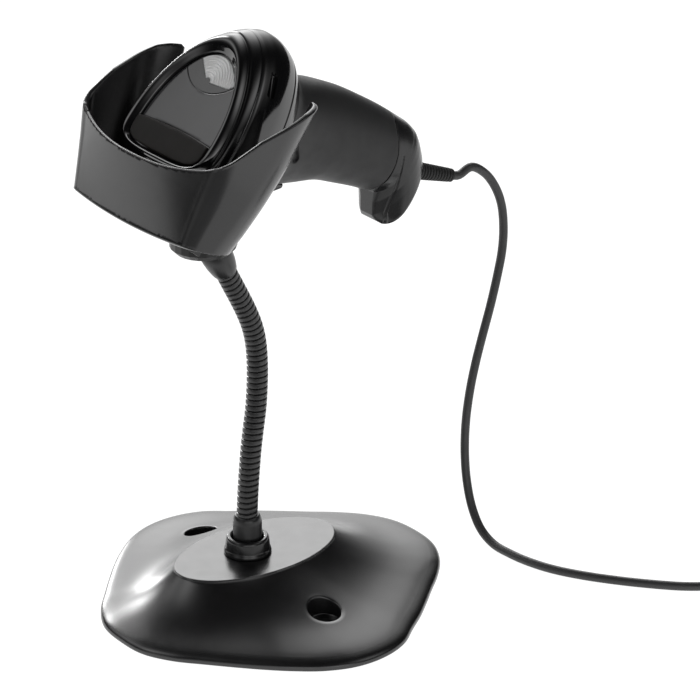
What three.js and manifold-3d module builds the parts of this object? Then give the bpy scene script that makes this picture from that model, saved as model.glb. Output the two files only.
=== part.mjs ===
// Pistol-grip handheld barcode scanner resting nose-down in the cup of a gooseneck stand.
// Millimetres, +Z up. Origin: centre of the base's underside, on the surface it stands on.
// -Y is the front of the stand, X is left/right, and the whole object is symmetric about x = 0
// apart from its cord.
import * as THREE from 'three';
import { mergeVertices } from 'three/addons/utils/BufferGeometryUtils.js';
import Module from 'manifold-3d';

const wasm = await Module();
wasm.setup();

// ------------------------------------------------------------------ driving dimensions
const GAP = 0.3;               // clearance kept between touching pieces

// scanner frame: local Y runs from nose to back of the head, local Z out of the head's top
const SC_POS = [0, -53.2, 247.7];
const SC_TILT = 48.1 * Math.PI / 180;

// stand base: polar radius of the outline every 10 degrees from +X (-90 .. +90), mirrored in X
const BASE_R = [89, 88.8, 85.5, 81.5, 79.8, 80.2, 82.2, 85.2, 87.1, 86.5, 83.7, 78.5, 76, 75, 76, 79.6, 84.2, 87.6, 88.2];
const PLATEAU = { y: -10.8, a: 24.5, b: 43.8, z: 25.6 };  // flat elliptical top of the base
const EDGE_Z = 6.0;            // height of the base's shoulder at its outline
const COVER_WALL = 2.8;
const PAD_T = 0.9, PLATE_Z0 = 1.2, PLATE_Z1 = 3.2, WEIGHT_Z0 = 3.5;
const DESK_HOLE = { x: 50, y: -7.5, r: 7.8, bore: 3.6, ledge: 6.2 };
const BASE_SCREWS = [[60, -28], [-60, -28], [44, 34], [-44, 34]];
const NECK_Y = -15.2;          // where the neck stands on the base

// gooseneck: centreline in the plane x = 0, from the lower to the upper fitting
const NECK_R = 4.9;
const NECK = [[-15.2, 47], [-14.6, 57], [-13.7, 67.5], [-12.6, 78.2], [-11.1, 88.7], [-9.5, 99.1], [-8.6, 109.7], [-8.3, 120.5],
  [-8.9, 131.4], [-10.6, 140.2], [-13.6, 148.5], [-17.6, 157.1], [-21.6, 165], [-24.9, 171.5]];
const LINKS = 6, LINK_GAP = 1.0;

// cup, in the scanner's local frame
const CUP_T = 2.5;             // wall
const CUP_V0 = -43.2, CUP_V1 = 46;
const cupW = v => interp([[-49, 44.2], [-43.2, 45.8], [-31, 49.2], [-18, 53], [-6.9, 55.8], [13, 59], [28, 60.2], [38, 60.6], [50, 60.6]], v);
const cupNf = v => -4.3 + 0.4543 * (v + 43.2);
const cupNr = v => -34.2 + 0.138 * (v + 31);
const cupBulge = v => interp([[-46, 2.2], [-43.2, 2.6], [-18, 7.2], [-6.9, 9.2], [46, 12]], v);
const cupRr = v => interp([[-49, 18], [-24, 18], [-8, 19], [8, 20], [24, 21.5], [50, 22]], v);
const cupRf = v => interp([[-49, 5], [-43, 5.5], [-20, 8.5], [50, 9]], v);

// scanner: head rings [n, nose end, back end, half width, widest v, front power, back power]
const HEAD = [
  [-2.9, -17, 52.5, 33.6, 0, 2.6, 1.75],
  [-3.9, -19.5, 53.8, 34.4, 0, 2.6, 1.78],
  [-6.5, -26.5, 56.6, 35.2, 0, 2.7, 1.82],
  [-10.5, -34, 59.2, 35.8, 0, 2.8, 1.86],
  [-14.5, -39.2, 61, 35.9, 0, 2.9, 1.9],
  [-20, -41, 61.6, 35.6, 0, 3, 1.92],
  [-26, -41, 60.8, 34.4, 0, 3, 1.94],
  [-28.3, -38.8, 60, 33.5, 1, 3, 1.96],
  [-29, -21, 59.7, 33.2, 4, 2.4, 1.96],
  [-36, -18.8, 55, 30.2, 6, 2.3, 2],
];
const COVER = [
  [-2.6, -15.6, 52.4, 33.5, 0, 2.5, 1.72],
  [-0.6, -15.2, 52, 33.3, 0, 2.5, 1.7],
  [0.9, -14, 50.8, 32.2, 0, 2.5, 1.7],
  [1.5, -12.8, 49.2, 30.6, 0, 2.5, 1.7],
];
const GRIP = [
  [-36.3, -18, 53.2, 29.4, 6, 2.2, 2.05],
  [-40, -12, 53, 26.4, 12, 2.2, 2.1],
  [-45, -4.5, 54.4, 23.6, 18, 2.2, 2.2],
  [-51, 0.5, 56.9, 21.4, 24, 2.2, 2.3],
  [-59, 4.5, 59.6, 19.8, 30, 2.2, 2.3],
  [-69, 11, 62.5, 18.6, 36, 2.2, 2.3],
  [-82, 19.6, 65, 17.9, 42, 2.2, 2.3],
  [-94, 24.3, 66.9, 17.4, 46, 2.2, 2.3],
  [-107, 28.9, 68.2, 17, 49, 2.2, 2.3],
];
const CAP = [
  [-107.3, 28.6, 68.2, 17, 49, 2.2, 2.3],
  [-112, 30.4, 68.6, 16.9, 48.5, 2.1, 2.3],
  [-116, 32, 68.3, 16.9, 48, 1.9, 2.3],
  [-117.5, 31, 68, 16.9, 47.5, 1.8, 2.3],
  [-121, 26.6, 66.6, 16.8, 46, 1.75, 2.2],
  [-125, 21.8, 64.4, 16.6, 43, 2, 2.1],
  [-127.5, 21, 62.8, 16.5, 40, 2.8, 2.1],
  [-130.2, 21.2, 60.8, 16.4, 37, 4, 2],
  [-131.2, 21.8, 60, 15.9, 36, 4.5, 2],
  [-131.6, 23, 58.6, 14.9, 36, 4.5, 2],
];
const NOSE_V = -38.2;          // flat front of the nose
const WINDOW = { hw: 18.5, n0: -25.6, n1: -12.5 };
const INLAY_V = 0.5;           // line where the label plate meets the smoked inlay
const LENS = { v: 47, r: 25 };      // the lens fills the pocket's back end inside this circle
const TRIGGER = { v: 3.2, n: -56.5, hw: 7, hh: 12 };

// cord: 2.1 m USB lead, 4.3 mm
const CORD_D = 4.3;
const RELIEF = { a: [48.5, -125.2], b: [62.2, -158.6], r0: 4.6, r1: 3.4 };
const COIL = { x: 168, y: 192, rMid: 25.6, rIn: 16.6, rOut: 34.6, h: 13.6 };

// ------------------------------------------------------------------ helpers
function interp(t, x) {
  if (x <= t[0][0]) return t[0][1];
  for (let i = 1; i < t.length; i++) if (x <= t[i][0]) {
    const [a, b] = [t[i - 1], t[i]];
    return a[1] + (b[1] - a[1]) * (x - a[0]) / (b[0] - a[0]);
  }
  return t[t.length - 1][1];
}
function indexed(pos, idx) {
  let v = 0;
  for (let i = 0; i < idx.length; i += 3) {
    const [a, b, c] = [idx[i] * 3, idx[i + 1] * 3, idx[i + 2] * 3];
    v += pos[a] * (pos[b + 1] * pos[c + 2] - pos[b + 2] * pos[c + 1])
      - pos[a + 1] * (pos[b] * pos[c + 2] - pos[b + 2] * pos[c])
      + pos[a + 2] * (pos[b] * pos[c + 1] - pos[b + 1] * pos[c]);
  }
  if (v < 0) for (let i = 0; i < idx.length; i += 3) [idx[i], idx[i + 1]] = [idx[i + 1], idx[i]];
  const g = new THREE.BufferGeometry();
  g.setAttribute('position', new THREE.Float32BufferAttribute(pos, 3));
  g.setIndex(idx);
  return g;
}
// closed body through rings of equal point count, with a fan at each end
function loft(rings) {
  const n = rings[0].length, pos = [], idx = [];
  for (const r of rings) for (const p of r) pos.push(...p);
  for (let j = 0; j + 1 < rings.length; j++) for (let i = 0; i < n; i++) {
    const a = j * n + i, b = j * n + (i + 1) % n, c = a + n, d = b + n;
    idx.push(a, b, d, a, d, c);
  }
  for (const [j, flip] of [[0, true], [rings.length - 1, false]]) {
    const c = [0, 1, 2].map(k => rings[j].reduce((s, p) => s + p[k], 0) / n);
    const k = pos.length / 3;
    pos.push(...c);
    for (let i = 0; i < n; i++) {
      const a = j * n + i, b = j * n + (i + 1) % n;
      flip ? idx.push(b, a, k) : idx.push(a, b, k);
    }
  }
  return indexed(pos, idx);
}
function solid(g) {
  let h = g.clone();
  for (const k of Object.keys(h.attributes)) if (k !== 'position') h.deleteAttribute(k);
  h = mergeVertices(h, 1e-4);
  return new wasm.Manifold(new wasm.Mesh({ numProp: 3,
    vertProperties: new Float32Array(h.attributes.position.array), triVerts: new Uint32Array(h.index.array) }));
}
function shape(m) {
  const s = m.getMesh(), g = new THREE.BufferGeometry();
  g.setAttribute('position', new THREE.BufferAttribute(new Float32Array(s.vertProperties), 3));
  g.setIndex(new THREE.BufferAttribute(new Uint32Array(s.triVerts), 1));
  return g;
}
const cut = (a, ...bs) => shape(bs.reduce((m, b) => m.subtract(solid(b)), solid(a)));
const join = (a, ...bs) => shape(bs.reduce((m, b) => m.add(solid(b)), solid(a)));
const common = (a, b) => shape(solid(a).intersect(solid(b)));
function box(x0, x1, y0, y1, z0, z1) {
  return new THREE.BoxGeometry(x1 - x0, y1 - y0, z1 - z0).translate((x0 + x1) / 2, (y0 + y1) / 2, (z0 + z1) / 2);
}
// upright cylinder, or a cone with r1 at the top
function cyl(x, y, z0, z1, r, seg = 24, r1 = r) {
  return new THREE.CylinderGeometry(r1, r, z1 - z0, seg).rotateX(Math.PI / 2).translate(x, y, (z0 + z1) / 2);
}
// cylinder between two points
function rod(a, b, r0, r1 = r0, seg = 20) {
  const A = new THREE.Vector3(...a), B = new THREE.Vector3(...b), d = B.clone().sub(A);
  const g = new THREE.CylinderGeometry(r1, r0, d.length(), seg).translate(0, d.length() / 2, 0);
  g.applyQuaternion(new THREE.Quaternion().setFromUnitVectors(new THREE.Vector3(0, 1, 0), d.normalize()));
  return g.translate(...a);
}
function lathe(profile, seg = 32) {
  return new THREE.LatheGeometry(profile.map(p => new THREE.Vector2(...p)), seg).rotateX(Math.PI / 2);
}
// outline of the scanner's sections: two half superellipses that meet at the widest point
function egg([n, v0, v1, hw, vm, pf, pb], N = 36, inset = 0) {
  const out = [];
  for (let i = 0; i < N; i++) {
    const t = 2 * Math.PI * (i + 0.5) / N, c = Math.cos(t), s = Math.sin(t);
    const p = s < 0 ? pf : pb, a = s < 0 ? vm - v0 - inset : v1 - vm - inset;
    out.push([(hw - inset) * Math.sign(c) * Math.abs(c) ** (2 / p), vm + a * Math.sign(s) * Math.abs(s) ** (2 / p), n]);
  }
  return out;
}
const eggs = (t, N, inset = 0) => loft(t.map(r => egg(r, N, inset)));
function prismX(pts, x0, x1) {          // polygon in (y, z), along x
  return loft([x0, x1].map(x => pts.map(p => [x, p[0], p[1]])));
}
function extrudeZ(pts, z0, z1) {        // any simple polygon in (x, y), along z
  const s = new THREE.Shape(pts.map(p => new THREE.Vector2(...p)));
  return new THREE.ExtrudeGeometry(s, { depth: z1 - z0, bevelEnabled: false }).translate(0, 0, z0);
}
function extrudeX(pts, x0, x1) {        // any simple polygon in (y, z), along x
  return extrudeZ(pts, x0, x1).applyMatrix4(new THREE.Matrix4().set(0, 0, 1, 0, 1, 0, 0, 0, 0, 1, 0, 0, 0, 0, 0, 1));
}

const object = new THREE.Group();
const scanner = new THREE.Group();
scanner.position.set(...SC_POS);
scanner.rotation.x = SC_TILT;
const cup = scanner.clone();
object.add(scanner, cup);
function add(group, name, geometry, color, roughness, metalness = 0) {
  const g = geometry.index ? geometry : geometry.clone();
  const m = new THREE.Mesh(g, new THREE.MeshStandardMaterial({ color, roughness, metalness }));
  m.name = name;
  group.add(m);
  return m;
}

// ------------------------------------------------------------------ stand base
function baseR(deg) {
  let a = ((deg + 180) % 360 + 360) % 360 - 180;
  if (a > 90) a = 180 - a; else if (a < -90) a = -180 - a;
  const k = Math.min(17, Math.floor((a + 90) / 10)), f = (a + 90) / 10 - k;
  const w = (1 - Math.cos(Math.PI * f)) / 2, g = 0.5 * (f + w);
  return BASE_R[k] * (1 - g) + BASE_R[k + 1] * g;
}
// radius of the outline and of the plateau along a ray from the plateau's centre
function rayOut(c, s) {
  let lo = 20, hi = 110;
  for (let i = 0; i < 40; i++) {
    const r = (lo + hi) / 2, x = c * r, y = PLATEAU.y + s * r;
    if (Math.hypot(x, y) < baseR(Math.atan2(y, x) * 180 / Math.PI)) lo = r; else hi = r;
  }
  return lo;
}
const rayIn = (c, s) => 1 / Math.hypot(c / PLATEAU.a, s / PLATEAU.b);
const domeZ = q => EDGE_Z + (PLATEAU.z - 0.9 - EDGE_Z) * (1 - Math.min(q, 1)) ** 1.5;
// ring of points at the fraction q between plateau (0) and outline (1)
function baseRing(q, z, N = 40, inset = 0) {
  const out = [];
  for (let i = 0; i < N; i++) {
    const t = 2 * Math.PI * (i + 0.5) / N, c = Math.cos(t), s = Math.sin(t);
    const ri = rayIn(c, s), ro = rayOut(c, s) - inset;
    const r = q < 0 ? ri * (1 + q) : ri + (ro - ri) * q;
    out.push([c * r, PLATEAU.y + s * r, z]);
  }
  return out;
}
const DOME = [0.0, 0.12, 0.27, 0.45, 0.65, 0.84];
let g = loft([baseRing(0.99, 0.7), baseRing(1, 1.6), baseRing(1, 3.6), baseRing(0.985, 5.0), baseRing(0.945, 6.2),
  ...DOME.slice().reverse().map(q => baseRing(q, domeZ(q) + (q > 0.8 ? 0.25 : 0))), baseRing(0, PLATEAU.z), baseRing(-0.5, PLATEAU.z)]);
const inner = loft([baseRing(0.93, -1, 32), baseRing(0.93, 3.6, 32), ...[0.84, 0.5, 0.2, 0].map(q =>
  baseRing(q, domeZ(q) - COVER_WALL, 32)), baseRing(-0.5, domeZ(0) - COVER_WALL, 32)]);
g = cut(g, inner);
for (const sx of [-1, 1]) {
  g = join(g, cyl(sx * DESK_HOLE.x, DESK_HOLE.y, WEIGHT_Z0, 13.5, DESK_HOLE.r + 2, 20));
  g = cut(g, cyl(sx * DESK_HOLE.x, DESK_HOLE.y, DESK_HOLE.ledge, 40, DESK_HOLE.r, 20),
    cyl(sx * DESK_HOLE.x, DESK_HOLE.y, -2, 20, DESK_HOLE.bore, 12));
}
for (const [x, y] of BASE_SCREWS) {
  const d = domeTop(x, y) - COVER_WALL + 1;
  g = join(g, cyl(x, y, WEIGHT_Z0, d, 3.4, 8));
  g = cut(g, cyl(x, y, 0, 8.2, 1.75, 8));
}
function domeTop(x, y) {
  const c = x, s = y - PLATEAU.y, r = Math.hypot(c, s), ri = rayIn(c / r, s / r), ro = rayOut(c / r, s / r);
  return domeZ((r - ri) / (ro - ri));
}
g = cut(g, cyl(0, NECK_Y, 10, 40, 7.4, 24));
add(object, 'base_cover', g, 0x151515, 0.45);

let w = loft([baseRing(0.86, WEIGHT_Z0, 32), baseRing(0.86, 3.9, 32), ...[0.7, 0.5, 0.3, 0.12].map(q =>
  baseRing(q, Math.min(domeZ(q) - COVER_WALL - 0.8, 13.5), 32)), baseRing(-0.5, 13.5, 32)]);
w = cut(w, cyl(0, NECK_Y, 0, 40, 13.5, 20));
for (const sx of [-1, 1]) w = cut(w, cyl(sx * DESK_HOLE.x, DESK_HOLE.y, 0, 40, DESK_HOLE.r + 2.4, 24));
for (const [x, y] of BASE_SCREWS) w = cut(w, cyl(x, y, 0, 40, 3.9, 12));
add(object, 'base_weight', w, 0x4a4a4c, 0.6, 0.9);

let p = loft([baseRing(0.91, PLATE_Z0, 32), baseRing(0.91, PLATE_Z1, 32)]);
for (const sx of [-1, 1]) p = cut(p, cyl(sx * DESK_HOLE.x, DESK_HOLE.y, 0, 9, 4, 20));
for (const [x, y] of BASE_SCREWS) p = cut(p, cyl(x, y, 0, 9, 1.8, 10), cyl(x, y, 0, 2.5, 3.3, 14));
add(object, 'base_plate', p, 0x1b1b1b, 0.7);

let pad = loft([baseRing(0.86, 0, 40), baseRing(0.86, PAD_T, 40)]);
for (const sx of [-1, 1]) pad = cut(pad, cyl(sx * DESK_HOLE.x, DESK_HOLE.y, -1, 9, 4.4, 20));
add(object, 'base_pad', pad, 0x202020, 0.95);

BASE_SCREWS.forEach(([x, y], i) => add(object, `base_screw_${i + 1}`,
  lathe([[0, 1.3], [2.9, 1.3], [2.9, 2.2], [1.45, 2.2], [1.45, 7.6], [0, 7.9]], 12).translate(x, y, 0), 0x8a8a8c, 0.4, 1));

// ------------------------------------------------------------------ neck
const PZ = PLATEAU.z;
add(object, 'neck_collar', lathe([[7.3, PZ + GAP], [11.3, PZ + GAP], [11.3, PZ + 1.6], [10.9, PZ + 2.4], [10.2, PZ + 7.6], [9.4, PZ + 8.6], [7.3, PZ + 8.6], [7.3, PZ + GAP]], 32)
  .translate(0, NECK_Y, 0), 0x101010, 0.35);
add(object, 'neck_lower_fitting', lathe([[0, 14], [6.9, 14], [6.9, 41.5], [6.7, 43.6], [5.6, 45.2], [0, 45.2]], 24).translate(0, NECK_Y, 0), 0x141414, 0.4);
add(object, 'neck_nut', cut(cyl(0, NECK_Y, 16.2, 21.2, 11.4, 6), cyl(0, NECK_Y, 10, 30, 7.25, 24)), 0x9a9a9a, 0.35, 1);

const neck = new THREE.CatmullRomCurve3(NECK.map(([y, z]) => new THREE.Vector3(0, y, z)), false, 'centripetal');
const neckLen = neck.getLength();
function neckRing(u, r, seg = 16) {
  const c = neck.getPointAt(u), t = neck.getTangentAt(u), nrm = new THREE.Vector3(1, 0, 0), b = new THREE.Vector3().crossVectors(t, nrm);
  return Array.from({ length: seg }, (_, i) => {
    const a = 2 * Math.PI * i / seg;
    return c.clone().addScaledVector(nrm, r * Math.cos(a)).addScaledVector(b, r * Math.sin(a)).toArray();
  });
}
for (let i = 0; i < LINKS; i++) {
  const e = LINK_GAP / neckLen, u0 = i / LINKS + e, u1 = (i + 1) / LINKS - e, rings = [];
  for (let k = 0; k <= 4; k++) rings.push(neckRing(u0 + (u1 - u0) * k / 4, NECK_R));
  add(object, `neck_link_${i + 1}`, loft(rings), 0x0d0d0d, 0.35, 0.6);
}
const top = neck.getPointAt(1), tdir = neck.getTangentAt(1);
const along = s => top.clone().addScaledVector(tdir, s).toArray();
// conical fitting under the cup
const UF = [[LINK_GAP, 5.2], [3, 5.7], [12, 7.3], [16.5, 7.6]];
const fr = new THREE.Vector3(1, 0, 0), fb = new THREE.Vector3().crossVectors(tdir, fr);
const ringAt = (s, r, seg = 24) => Array.from({ length: seg }, (_, i) => {
  const a = 2 * Math.PI * i / seg, c = new THREE.Vector3(...along(s));
  return c.addScaledVector(fr, r * Math.cos(a)).addScaledVector(fb, r * Math.sin(a)).toArray();
});
add(object, 'neck_upper_fitting', loft(UF.map(([s, r]) => ringAt(s, r))), 0x161616, 0.45);

// ------------------------------------------------------------------ cup
function cupRing(v, t) {
  const W = cupW(v) - t, nf = cupNf(v) - t, nr = cupNr(v) + t, b = cupBulge(v);
  const rf = cupRf(v) - t * 0.6, rr = cupRr(v) - t * 0.8, out = [];
  const F = 8, xf = W - rf;
  for (let i = 0; i <= F; i++) { const k = -1 + 2 * i / F; out.push([k * xf, v, nf + b * (1 - k * k)]); }
  const arc = (cx, cn, r, a0, a1, m) => { for (let i = 1; i <= m; i++) { const a = a0 + (a1 - a0) * i / m; out.push([cx + r * Math.cos(a), v, cn + r * Math.sin(a)]); } };
  arc(xf, nf - rf, rf, Math.PI / 2 - 0.1, 0, 3);
  arc(W - rr, nr + rr, rr, 0, -Math.PI / 2, 6);
  arc(-(W - rr), nr + rr, rr, -Math.PI / 2, -Math.PI, 6);
  arc(-xf, nf - rf, rf, Math.PI, Math.PI / 2 + 0.1, 3);
  return out;
}
const cupV = [-49, -30, -14, 0, 14, 30, 48];
let c = cut(loft(cupV.map(v => cupRing(v, 0))), loft([-53, ...cupV.slice(1, -1), 52].map(v => cupRing(v, CUP_T))));
// side view: bottom edge, rim and ears
c = cut(c,
  extrudeX([[-60, -60], [-60, 40], [-48.8, 40], [-44.6, -4.3], [-38.2, -20], [-32.6, -33.5], [-30, -45], [-30, -60]], -80, 80),
  extrudeX([[-8.3, 60], [-8.3, 10.8], [-5, 9.9], [-1.2, 8.4], [13.6, 1.8], [28, -7.8], [36, -12.8], [43, -18.9], [46.4, -24], [70, -60], [70, 60]], -80, 80));
// front rim dips in the middle
const dip = [];
for (let i = 0; i <= 12; i++) { const k = -1 + i / 6; dip.push([k * 50.5, -18.1 + 9.8 * Math.abs(k) ** 2.3]); }
c = cut(c, extrudeZ([...dip, [50.5, -2], [-50.5, -2]], 3.2, 60));
// rear notch that the handle leaves through
const notch = [[-45.3, 70], [-44.8, 36], [-43.8, 14], [-41.5, -2], [-38, -13], [-33, -19.5], [-26, -22.4], [26, -22.4], [33, -19.5], [38, -13], [41.5, -2], [43.8, 14], [44.8, 36], [45.3, 70]];
c = cut(c, extrudeZ(notch, -60, -12));
const SCREW_V = -27.6, SCREW_X = 9;
for (const sx of [-1, 1]) c = cut(c, cyl(sx * SCREW_X, SCREW_V, -40, -32.6, 1.65, 10));
add(cup, 'cup_shell', c, 0x1c1c1c, 0.5);

// bracket under the cup: an upright disc in the stand's frame and a pad that backs the cup's rear wall
const BR = { y: -37.5, z0: 186.4, z1: 199.5, r: 15.5 };
const toWorld = geo => geo.clone().applyMatrix4(new THREE.Matrix4().makeRotationX(SC_TILT).setPosition(...SC_POS));
let br = loft([[BR.z0, BR.r - 2.5], [BR.z0 + 2.6, BR.r], [BR.z1, BR.r]].map(([z, r]) =>
  Array.from({ length: 24 }, (_, i) => [r * Math.cos(2 * Math.PI * i / 24), BR.y + r * Math.sin(2 * Math.PI * i / 24), z])));
br = join(br, toWorld(box(-13.5, 13.5, -40, -24, -41, -30)));
br = cut(br, toWorld(extrudeX([[-70, cupNr(-70) - GAP], [30, cupNr(30) - GAP], [30, 60], [-70, 60]], -60, 60)));
br = cut(br, loft([[-2, 6.2], [3, 6.2], [12, 7.7], [16.9, 8]].map(([s, r]) => ringAt(s, r))));
br = cut(br, toWorld(box(-5.4, 5.4, -36.4, -25.6, -37.9, -20)));
for (const sx of [-1, 1]) br = cut(br, toWorld(cyl(sx * SCREW_X, SCREW_V, -60, -38, 3.1, 14)), toWorld(cyl(sx * SCREW_X, SCREW_V, -60, -20, 1.7, 10)));
add(object, 'cup_bracket', br, 0x161616, 0.45);

// two screws up through the bracket into the cup's rear wall
[[1, -1], [2, 1]].forEach(([i, sx]) => add(cup, `cup_screw_${i}`,
  lathe([[0, -39.8], [2.7, -39.8], [2.7, -38.3], [1.3, -38.3], [1.3, -33], [0, -33]], 12).translate(sx * SCREW_X, SCREW_V, 0), 0x8a8a8c, 0.4, 1));
add(cup, 'presence_magnet', box(-5, 5, -36, -26, -37.6, -35.4), 0x77787a, 0.35, 1);

// ------------------------------------------------------------------ scanner shells
// head: side shell, open at the top for the cover, at the nose for the window and below into the grip
let h = cut(eggs(HEAD, 36), box(-60, 60, -80, NOSE_V, -60, 20));
h = cut(h, loft([[0.5, -16, 50, 30.6, 0, 2.6, 1.75], [-6.5, -24.5, 54, 32.6, 0, 2.7, 1.8], [-14.5, -36.8, 58, 33.4, 0, 2.9, 1.9],
  [-26, -37.4, 57.8, 31.9, 0, 3, 1.94], [-26.7, -35.4, 57.4, 31.3, 1, 3, 1.96], [-27.4, -18.6, 57, 30.8, 4, 2.4, 1.96], [-38, -16, 51, 27.4, 6, 2.3, 2]].map(r => egg(r, 28))));
h = cut(h, box(-WINDOW.hw, WINDOW.hw, -60, -30, WINDOW.n0, WINDOW.n1));
// small slot on each flank, just under the cover's edge
for (const sx of [-1, 1]) h = cut(h, box(-6.3, 6.3, -1.6, 1.6, -2, 2).rotateZ(Math.atan2(-0.831, 0.557 * sx)).translate(sx * 25.6, 39.6, -13.4));
add(scanner, 'head_shell', h, 0x070707, 0.12);

// top cover with a raised ring round a shallow pocket
let tc = join(eggs(COVER, 40), eggs([[-4.8, -12.8, 42, 28, 0, 2.7, 2], [-2.4, -12.8, 42, 28, 0, 2.7, 2]], 40));
const pocket = [[-3.6, -11.9, 41.2, 27, 0, 2.7, 2], [3, -11.9, 41.2, 27, 0, 2.7, 2]];
tc = cut(tc, eggs(pocket, 40));
add(scanner, 'head_top_cover', tc, 0x060606, 0.1);
const inPocket = (z0, z1) => eggs([[z0, -11.6, 40.9, 26.7, 0, 2.7, 2], [z1, -11.6, 40.9, 26.7, 0, 2.7, 2]], 40);
// the joint between label and inlay is a shallow arch
const arch = off => Array.from({ length: 9 }, (_, i) => { const k = -1 + i / 4; return [k * 40, INLAY_V + off - 1.4 * k * k * 2.2 + 1.4]; });
let inlay = common(inPocket(-3.3, -2.2), extrudeZ([...arch(0.2), [40, 60], [-40, 60]], -6, 3));
inlay = cut(inlay, cyl(0, LENS.v, -6, 3, LENS.r + 0.15, 48));
add(scanner, 'top_inlay', inlay, 0x2a2a2c, 0.15);
add(scanner, 'label_plate', common(inPocket(-3.3, 0.2), extrudeZ([...arch(-0.2), [40, -30], [-40, -30]], -6, 3)), 0x1f1b19, 0.6);
add(scanner, 'indicator_lens', common(inPocket(-3.3, -1.95), cyl(0, LENS.v, -6, 3, LENS.r - 0.15, 48)), 0x9a9a9a, 0.25);

// nose: bezel and window
const rrect = (hw, n0, n1, r, m = 3) => {
  const out = [];
  for (const [cx, cn, a0] of [[hw - r, n1 - r, 0], [-(hw - r), n1 - r, Math.PI / 2], [-(hw - r), n0 + r, Math.PI], [hw - r, n0 + r, 1.5 * Math.PI]])
    for (let i = 0; i <= m; i++) out.push([cx + r * Math.cos(a0 + i * Math.PI / 2 / m), cn + r * Math.sin(a0 + i * Math.PI / 2 / m)]);
  return out;
};
const slab = (pts, v0, v1) => loft([v0, v1].map(v => pts.map(p => [p[0], v, p[1]])));
add(scanner, 'nose_bezel', cut(slab(rrect(21.6, -27.4, -10.4, 4), -39.9, NOSE_V - GAP), slab(rrect(17.2, -24.6, -13.5, 2.5), -50, -30)), 0x121212, 0.8);
add(scanner, 'scan_window', slab(rrect(18, -25.2, -12.9, 2.5), -37.9, -36.4), 0x2a0608, 0.05);

// grip: soft-touch sleeve between the head and the end cap, hollow, open at both ends
let gr = eggs(GRIP, 32);
gr = cut(gr, loft([[-35, -15.4, 50.6, 26.8, 6, 2.2, 2.05], [-40, -9, 50.4, 24, 12, 2.2, 2.1], [-45, -1.5, 51.9, 21.2, 18, 2.2, 2.2], [-51, 3.4, 54.4, 19, 24, 2.2, 2.3],
  [-59, 7.4, 57.1, 17.4, 30, 2.2, 2.3], [-69, 13.9, 60, 16.2, 36, 2.2, 2.3], [-82, 22.4, 62.5, 15.5, 42, 2.2, 2.3], [-94, 27, 64.4, 15, 46, 2.2, 2.3], [-109, 32, 65.8, 14.6, 49, 2.2, 2.3]].map(r => egg(r, 24))));
// opening for the trigger
const trigRot = 0.42;
const trigBox = (hw, hh, d0, d1) => new THREE.BoxGeometry(2 * hw, d1 - d0, 2 * hh).translate(0, (d0 + d1) / 2, 0).rotateX(trigRot).translate(0, TRIGGER.v, TRIGGER.n);
gr = cut(gr, trigBox(TRIGGER.hw + 0.5, TRIGGER.hh + 0.6, -16, 12));

// trigger rocker on its pin
const tp = [[-3.2, -TRIGGER.hh], [-5.2, -TRIGGER.hh * 0.5], [-6.2, 0], [-6.4, TRIGGER.hh * 0.45], [-5, TRIGGER.hh], [4.5, TRIGGER.hh], [4.5, 4], [1.5, 2], [1.5, -TRIGGER.hh]];
let tg = extrudeX(tp, -TRIGGER.hw, TRIGGER.hw).rotateX(trigRot).translate(0, TRIGGER.v, TRIGGER.n);
const pinAt = [TRIGGER.v - 1.85, TRIGGER.n + 9.03];
gr = cut(gr, rod([-10, ...pinAt], [10, ...pinAt], 1.35, 1.35, 10));
add(scanner, 'grip_shell', gr, 0x232323, 0.75);
tg = cut(tg, rod([-20, ...pinAt], [20, ...pinAt], 1.35, 1.35, 16));
add(scanner, 'trigger_button', tg, 0x0c0c0c, 0.3);
add(scanner, 'trigger_pin', rod([-9.5, ...pinAt], [9.5, ...pinAt], 1.0, 1.0, 12), 0x9a9a9a, 0.3, 1);

// end cap with the toe, open at the top, bored for the strain relief
let ec = eggs(CAP, 32);
ec = cut(ec, loft([[-106, 31.4, 65.8, 14.6, 49, 2.2, 2.3], [-113, 34, 66, 14.4, 49, 2.2, 2.3], [-119, 34.5, 64.6, 14, 48, 2.2, 2.3], [-125, 30, 61.4, 13.2, 45, 2.2, 2.1], [-129.4, 27, 58, 12.6, 40, 2.8, 2.1]].map(r => egg(r, 24))));
const ra = [0, ...RELIEF.a], rb = [0, ...RELIEF.b];
ec = cut(ec, rod([0, ...RELIEF.a], [0, ...RELIEF.b], 5.0, 5.0, 20));
add(scanner, 'end_cap', ec, 0x0e0e0e, 0.3);

// ------------------------------------------------------------------ scanner inside
let pcb = box(-18, 18, -10, 38.5, -21.6, -20);
for (const sx of [-1, 1]) pcb = cut(pcb, cyl(sx * 15, 34, -30, -10, 1.5, 10));
add(scanner, 'main_pcb', pcb, 0x1f4a2a, 0.5);
for (const [i, sx] of [[1, -1], [2, 1]]) add(scanner, `pcb_screw_${i}`, lathe([[0, -24.0], [2.4, -24.0], [2.4, -22.0], [1.1, -22.0], [1.1, -15], [0, -15]], 12).translate(sx * 15, 34, 0), 0xb0b0b0, 0.3, 1);
add(scanner, 'scan_engine', cut(box(-11, 11, -29.5, -13, -26, -12), rod([-4.5, -31, -19], [-4.5, -24, -19], 3.9, 3.9, 16), rod([5.5, -31, -19], [5.5, -27, -19], 3.0, 3.0, 16)), 0x202225, 0.5);
add(scanner, 'imaging_lens', rod([-4.5, -30.6, -19], [-4.5, -24.6, -19], 3.5, 3.5, 16), 0x203040, 0.1);
add(scanner, 'illumination_led', rod([5.5, -30.4, -19], [5.5, -27.6, -19], 2.6, 2.6, 12), 0xe8e4c8, 0.2);
add(scanner, 'beeper', cut(cyl(8, 14, -19.7, -14.6, 6, 20), cyl(8, 14, -15.6, -14, 1.6, 10)), 0x111111, 0.5);
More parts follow.
